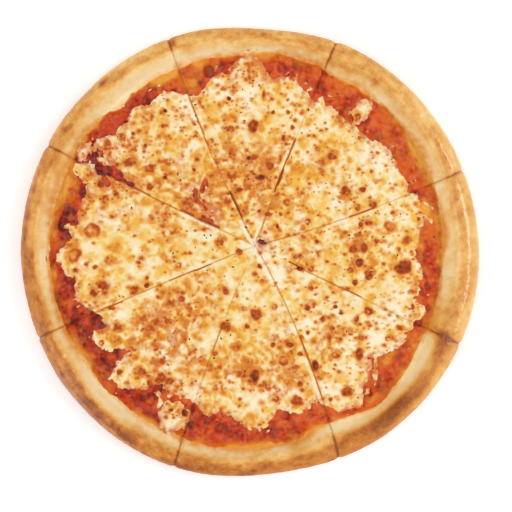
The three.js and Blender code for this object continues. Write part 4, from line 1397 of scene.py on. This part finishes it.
def cheese_slice(number, fields, look, material):
    """One slice's cheese: a sheet that follows the sauce, thick inside its edge and sunk below it outside."""
    across = spaced(CHEESE_COLUMNS)
    plan = SlicePlan(number, across, look.kerf / MM)
    around = np.minimum(cheese_edge(plan.degrees) + 6.0, rim_foot(plan.degrees) + 3.0)
    edge_far = plan.far_at(around)
    far = TIP + (edge_far - TIP) * np.linspace(0, 1, CHEESE_ROWS)[:, None]
    x, y = plan.points(far)
    z, maps = cheese_surface(fields, x, y, fields.sample("margin", x, y))
    distance = far * np.linalg.norm(plan.course, axis=-1)
    unevenness = 1 + 0.5 * rough(x, y, 6.0, 91)
    for cut, side, from_cut in (
        (number + 1, 1, plan.across * plan.width * far),
        ((number + 1) % SLICES + 1, -1, (1 - plan.across) * plan.width * far),
    ):
        cut_look(cut, side, from_cut, distance, unevenness, z, maps)
    piece = sheet_solid(f"cheese_slice_{number + 1}", x, y, z, BREAD_MIDDLE - 0.6, maps)
    finish_piece(piece, material, [f"cheese_{number + 1}"])


def cut_look(cut, side, from_cut, distance, unevenness, z, maps):
    """Sinks the cheese along one side of a cut and browns it as painted shade in the crease, with tomato
    where the cut is wide, and raises its edges, painted paler as a highlight. Each listed stretch is a bell
    across the cut, times a plateau along it that fades over 3 or 4 mm at both ends."""
    z -= 0.35 * np.exp(-((from_cut / 0.5) ** 2)) * smooth(1, 6, distance)
    for at, on_side, start, end, width, dark in SEAMS:
        if at == cut and on_side in (0, side):
            stretch = plateau(distance, start, end, 1.5)
            bell = np.exp(-((from_cut / (width * unevenness)) ** 2)) * stretch
            # painted shade: the toast along the cut stands in for the shade in its crease
            maps["toast"][...] = np.maximum(maps["toast"], dark * bell)
            maps["tomato"] += 0.5 * bell * smooth(1.0, 2.0, width)
            z -= 0.45 * bell * dark
    for at, on_side, start, end, strength in LIPS:
        if at == cut and on_side == side:
            stretch = plateau(distance, start, end, 2.0)
            ridge = np.exp(-(((from_cut - 1.5) / 1.1) ** 2)) * stretch * strength
            z += 0.45 * ridge
            # painted highlight: the raised edge is made whiter and less oily, brown and red
            maps["curd"] += 0.6 * ridge
            maps["oil"] *= 1 - 0.8 * ridge
            maps["toast"] *= 1 - 0.7 * ridge
            maps["tomato"] *= 1 - 0.8 * ridge


def cheese_surface(fields, x, y, margin):
    """Height and colour attributes of the cheese at any places."""
    lift = fields.sample("lift", x, y) * smooth(0.0, 2.0, margin)
    degrees, radius = polar_of(x, y)
    base = bread_top(degrees, radius) + SAUCE_THICK * 0.8
    z = base + cheese_height(margin, x, y) + lift
    rim = 1 - smooth(0.5, 4.5, margin)
    thin = np.clip(0.50 + 0.55 * rough(x, y, 7.0, 63) + 0.6 * noise(x, y, 2.0, 64), 0, 1)
    maps = {
        "toast": fields.sample("toast", x, y) * smooth(-0.5, 1.5, margin),
        "oil": fields.sample("oil", x, y) * (1 - 0.75 * rim),
        "curd": fields.sample("curd", x, y) + 0.06 * rim,
        "tomato": fields.sample("tomato", x, y) + 1.1 * thin * (1 - smooth(-0.5, 7.0, margin)),
    }
    return z, maps


PAT_RINGS = 46
PAT_SPOKES = 120
PAT_REACH = 1.22  # how far the grid goes past a pat's size, where the cheese has sunk into the sauce


def cheese_pat(number, fields, material):
    """A loose pat: a round sheet of cheese on rings round its own middle."""
    at, radius, half_across, half_along = PATS[number]
    turn = np.linspace(0, 2 * math.pi, PAT_SPOKES, endpoint=False)
    share = np.linspace(0, 1, PAT_RINGS)[1:, None]
    local_along = PAT_REACH * half_along * share * np.cos(turn)
    local_across = PAT_REACH * half_across * share * np.sin(turn)
    angle = math.radians(at)
    centre = radius * np.array((math.cos(angle), math.sin(angle))) - MIDDLE
    x = centre[0] + local_along * math.cos(angle) - local_across * math.sin(angle)
    y = centre[1] + local_along * math.sin(angle) + local_across * math.cos(angle)
    ragged = 1.8 * rough(x, y, 4.0, 13 + number) + 0.9 * rough(x, y, 1.8, 14, 2)
    margin = (1 - share * PAT_REACH) * 0.5 * (half_across + half_along) + ragged
    z, maps = cheese_surface(fields, x, y, margin)
    piece = round_solid(f"cheese_patch_{number + 1}", x, y, z, centre, maps)
    finish_piece(piece, material, [f"cheese_pat_{number + 1}"])


def round_solid(name, x, y, z, centre, maps):
    """A closed body from rings of top points: a fan at the middle, and a flat underside below the sauce."""
    rings, spokes = z.shape
    index = np.arange(rings * spokes).reshape(rings, spokes)
    looped = np.concatenate((index, index[:, :1]), 1)
    quads = quads_of(looped)
    top = np.stack((x, y, z), -1).reshape(-1, 3)
    middle = np.array((centre[0], centre[1], z[0].mean()))
    under = np.array((centre[0], centre[1], BREAD_FOOT))
    rim = top[index[-1]].copy()
    rim[:, 2] = np.minimum(rim[:, 2] - 0.6, BREAD_FOOT + 6)
    first = index[0]
    low = rings * spokes + 2 + np.arange(spokes)
    fan = np.stack((np.full(spokes, rings * spokes), first, np.roll(first, -1)), -1)
    under_fan = np.stack((np.full(spokes, rings * spokes + 1), np.roll(low, -1), low), -1)
    last = index[-1]
    wall = np.stack((last, low, np.roll(low, -1), np.roll(last, -1)), -1)
    points = np.concatenate((top, middle[None], under[None], rim))
    carried = {}
    for label, grid in maps.items():
        flat = grid.reshape(-1)
        carried[label] = np.concatenate((flat, [grid[0].mean()], [grid[0].mean()], grid[-1]))
    return make_mesh(name, points, np.concatenate((quads, wall)), np.concatenate((fan, under_fan)), carried)


HERB_REACH = 126.0
HERB_SEED = 8


def herb_flecks(fields, look, material):
    """Dried herb flakes: little uneven five-sided plates that lie on the cheese and the sauce."""
    random = np.random.default_rng(HERB_SEED)
    count = look.flecks
    angle = random.random(count) * 2 * math.pi
    radius = HERB_REACH * np.sqrt(random.random(count))
    centre = np.stack((radius * np.cos(angle), radius * np.sin(angle)), 1)
    known = np.array(HERB_PLACES, float)
    centre[: len(known)] = known
    length = 0.45 + 0.55 * random.random(count)
    turn = random.random(count) * 2 * math.pi
    corner = np.arange(5) * 2 * math.pi / 5
    spread = 0.75 + 0.5 * random.random((count, 5))
    local_x = length[:, None] * spread * np.cos(corner)
    local_y = 0.55 * length[:, None] * spread * np.sin(corner)
    x = centre[:, :1] + local_x * np.cos(turn)[:, None] - local_y * np.sin(turn)[:, None]
    y = centre[:, 1:] + local_x * np.sin(turn)[:, None] + local_y * np.cos(turn)[:, None]
    margin = fields.sample("margin", x, y)
    on_cheese, _maps = cheese_surface(fields, x, y, margin)
    surface = np.maximum(on_cheese, sauce_top(fields, x, y))
    low = np.stack((x, y, surface - 0.10), -1)
    high = np.stack((x, y, surface + 0.14 + 0.10 * random.random((count, 5))), -1)
    points = np.concatenate((low, high), 1).reshape(-1, 3)
    base = np.arange(count)[:, None] * 10
    side = np.arange(5)
    following = (side + 1) % 5
    walls = np.stack((side, following, following + 5, side + 5), -1)
    quads = (base[:, :, None] + walls[None]).reshape(-1, 4)
    lids = np.array(((5, 6, 7), (5, 7, 8), (5, 8, 9), (0, 2, 1), (0, 3, 2), (0, 4, 3)))
    triangles = (base[:, :, None] + lids[None]).reshape(-1, 3)
    piece = make_mesh("herb_flecks", points, quads, triangles, {})
    finish_piece(piece, material, [])


# ---- settings, operators, panel ----


def colour(name, description, display):
    """A colour setting whose default is given in display values of 0 to 255."""
    settings = {"subtype": "COLOR", "size": 3, "min": 0.0, "max": 1.0}
    return FloatVectorProperty(name=name, description=description, default=linear(*display), **settings)


def cut_width(layer, metres):
    """A setting for how wide the cuts are in one layer."""
    description = f"Width of a cut in the {layer}"
    return FloatProperty(name="Kerf", description=description, default=metres, unit="LENGTH", min=0.0)


class CrustLook(PropertyGroup):
    kerf: cut_width("bread", 0.00012)
    pale: colour("Pale", "Dough that stayed pale", (249, 215, 148))
    golden: colour("Golden", "Dough that turned golden", (236, 180, 94))
    brown: colour("Brown", "Dough that browned", (206, 128, 46))


class SauceLook(PropertyGroup):
    kerf: cut_width("sauce", 0.0003)
    bright: colour("Bright", "Thick fresh red sauce", (192, 56, 8))
    deep: colour("Deep", "Sauce that cooked down", (144, 30, 4))


class CheeseLook(PropertyGroup):
    kerf: cut_width("cheese", 0.0001)
    amber: colour("Amber", "Clear melted fat", (236, 182, 76))
    cream: colour("Cream", "Plain melted cheese", (245, 218, 160))
    white: colour("White", "Milky curd", (251, 237, 206))
    oil: colour("Oil", "Cheese soaked in orange oil", (220, 130, 26))
    brown: colour("Brown", "Browned blisters", (180, 76, 16))


class HerbLook(PropertyGroup):
    flecks: IntProperty(name="Flecks", description="Number of herb flakes", default=150, min=50, max=2000)
    leaf: colour("Leaf", "Dried leaf", (104, 70, 30))


class StageLook(PropertyGroup):
    floor: colour("Floor", "Table top", (253, 253, 253))
    glow: FloatProperty(name="Glow", description="Light that the table top gives off", default=0.22)
    key: FloatProperty(name="Key light", description="Strength of the main light", default=45.0, unit="POWER")
    sky: FloatProperty(name="Sky", description="Strength of the even light", default=0.50)


class PizzaSettings(PropertyGroup):
    crust: PointerProperty(type=CrustLook)
    sauce: PointerProperty(type=SauceLook)
    cheese: PointerProperty(type=CheeseLook)
    herbs: PointerProperty(type=HerbLook)
    stage: PointerProperty(type=StageLook)


FIELDS = None


def shared_fields():
    """The maps over the pizza, worked out the first time that they are needed."""
    global FIELDS
    if FIELDS is None:
        FIELDS = Fields()
        FIELDS.maps["margin"] = cheese_margin(FIELDS)
        browning(FIELDS)
        sauce_maps(FIELDS)
    return FIELDS


class PIZZA_OT_crust(Operator):
    """Bakes the eight slices of bread with their raised rim"""

    bl_idname = "pizza.crust"
    bl_label = "Crust"

    def execute(self, context):
        look = context.scene.pizza.crust
        material = crust_material(look)
        for number in range(SLICES):
            crust_slice(number, look, material)
        return {"FINISHED"}


class PIZZA_OT_sauce(Operator):
    """Spreads the tomato sauce on each slice"""

    bl_idname = "pizza.sauce"
    bl_label = "Sauce"

    def execute(self, context):
        look = context.scene.pizza.sauce
        material = sauce_material(look)
        for number in range(SLICES):
            sauce_slice(number, shared_fields(), look, material)
        return {"FINISHED"}


class PIZZA_OT_cheese(Operator):
    """Melts the cheese over each slice, with its blisters, freckles and curds"""

    bl_idname = "pizza.cheese"
    bl_label = "Cheese"

    def execute(self, context):
        look = context.scene.pizza.cheese
        material = cheese_material(look)
        for number in range(SLICES):
            cheese_slice(number, shared_fields(), look, material)
        for number in range(len(PATS)):
            cheese_pat(number, shared_fields(), material)
        return {"FINISHED"}


class PIZZA_OT_herbs(Operator):
    """Scatters dried herb flakes"""

    bl_idname = "pizza.herbs"
    bl_label = "Herbs"

    def execute(self, context):
        look = context.scene.pizza.herbs
        herb_flecks(shared_fields(), look, herb_material(look))
        return {"FINISHED"}


CAMERA_HEIGHT = 1.15
VIEW_WIDTH = 0.3357  # width of the view at the pizza's own height
VIEW_CENTRE = (0.0039, -0.0026)
PIZZA_TOP = 0.012  # mean height of the top, which the view's width is measured at
FLOOR_SIZE = 6.0
FLOOR_DROP = -0.15  # mm, so that the floor and the underside don't share a plane


class PIZZA_OT_stage(Operator):
    """Lays the pale floor and sets up the lights and the camera"""

    bl_idname = "pizza.stage"
    bl_label = "Stage"

    def execute(self, context):
        look = context.scene.pizza.stage
        scene = context.scene
        corners = np.array(((-1, -1, 0), (1, -1, 0), (1, 1, 0), (-1, 1, 0)), float) * FLOOR_SIZE / 2 / MM
        corners[:, 2] = FLOOR_DROP
        floor = make_mesh("floor", corners, np.array(((0, 1, 2, 3),)), np.zeros((0, 3), int), {})
        floor.data.materials.append(floor_material(look))
        add_light("key", look.key, (0.8, 2.4), 8, 43, 3.6, (1.0, 0.985, 0.97))
        for around, share in ((200, 0.95), (110, 0.40), (290, 0.38)):
            add_light(f"fill at {around}", share * look.key, (3.0, 3.0), around, 40, 3.6, (1.0, 0.99, 0.98))
        sky = bpy.data.worlds.new("sky")
        sky.use_nodes = True
        background = sky.node_tree.nodes["Background"]
        background.inputs["Color"].default_value = (1.0, 1.0, 1.0, 1.0)
        background.inputs["Strength"].default_value = look.sky
        scene.world = sky
        scene.view_settings.view_transform = "Standard"
        lens = bpy.data.cameras.new("camera")
        lens.sensor_width = 36.0
        lens.lens = lens.sensor_width * (CAMERA_HEIGHT - PIZZA_TOP) / VIEW_WIDTH
        camera = bpy.data.objects.new("camera", lens)
        camera.location = (VIEW_CENTRE[0], VIEW_CENTRE[1], CAMERA_HEIGHT)
        scene.collection.objects.link(camera)
        scene.camera = camera
        return {"FINISHED"}


def add_light(name, power, size, around, above, distance, tint):
    """A soft light of a given height and width that faces the pizza from a direction and an elevation."""
    light = bpy.data.lights.new(name, "AREA")
    light.energy = power
    light.shape = "RECTANGLE"
    light.size, light.size_y = size
    light.color = tint
    lamp = bpy.data.objects.new(name, light)
    turn = math.radians(around)
    rise = math.radians(above)
    lamp.location = (
        distance * math.cos(rise) * math.cos(turn),
        distance * math.cos(rise) * math.sin(turn),
        distance * math.sin(rise),
    )
    lamp.rotation_euler = (0.0, math.pi / 2 - rise, turn)
    bpy.context.scene.collection.objects.link(lamp)


class PIZZA_PT_panel(Panel):
    """Lists the steps that build the pizza"""

    bl_label = "Margherita Pizza"
    bl_space_type = "VIEW_3D"
    bl_region_type = "UI"
    bl_category = "Pizza"

    def draw(self, context):
        for operator in OPERATORS:
            self.layout.operator(operator.bl_idname)


OPERATORS = (PIZZA_OT_crust, PIZZA_OT_sauce, PIZZA_OT_cheese, PIZZA_OT_herbs, PIZZA_OT_stage)
CLASSES = (CrustLook, SauceLook, CheeseLook, HerbLook, StageLook, PizzaSettings, *OPERATORS, PIZZA_PT_panel)


def register():
    for entry in CLASSES:
        bpy.utils.register_class(entry)
    bpy.types.Scene.pizza = PointerProperty(type=PizzaSettings)


def unregister():
    del bpy.types.Scene.pizza
    for entry in reversed(CLASSES):
        bpy.utils.unregister_class(entry)


def main():
    register()
    bpy.ops.pizza.crust()
    bpy.ops.pizza.sauce()
    bpy.ops.pizza.cheese()
    bpy.ops.pizza.herbs()
    bpy.ops.pizza.stage()


if __name__ == "__main__":
    main()
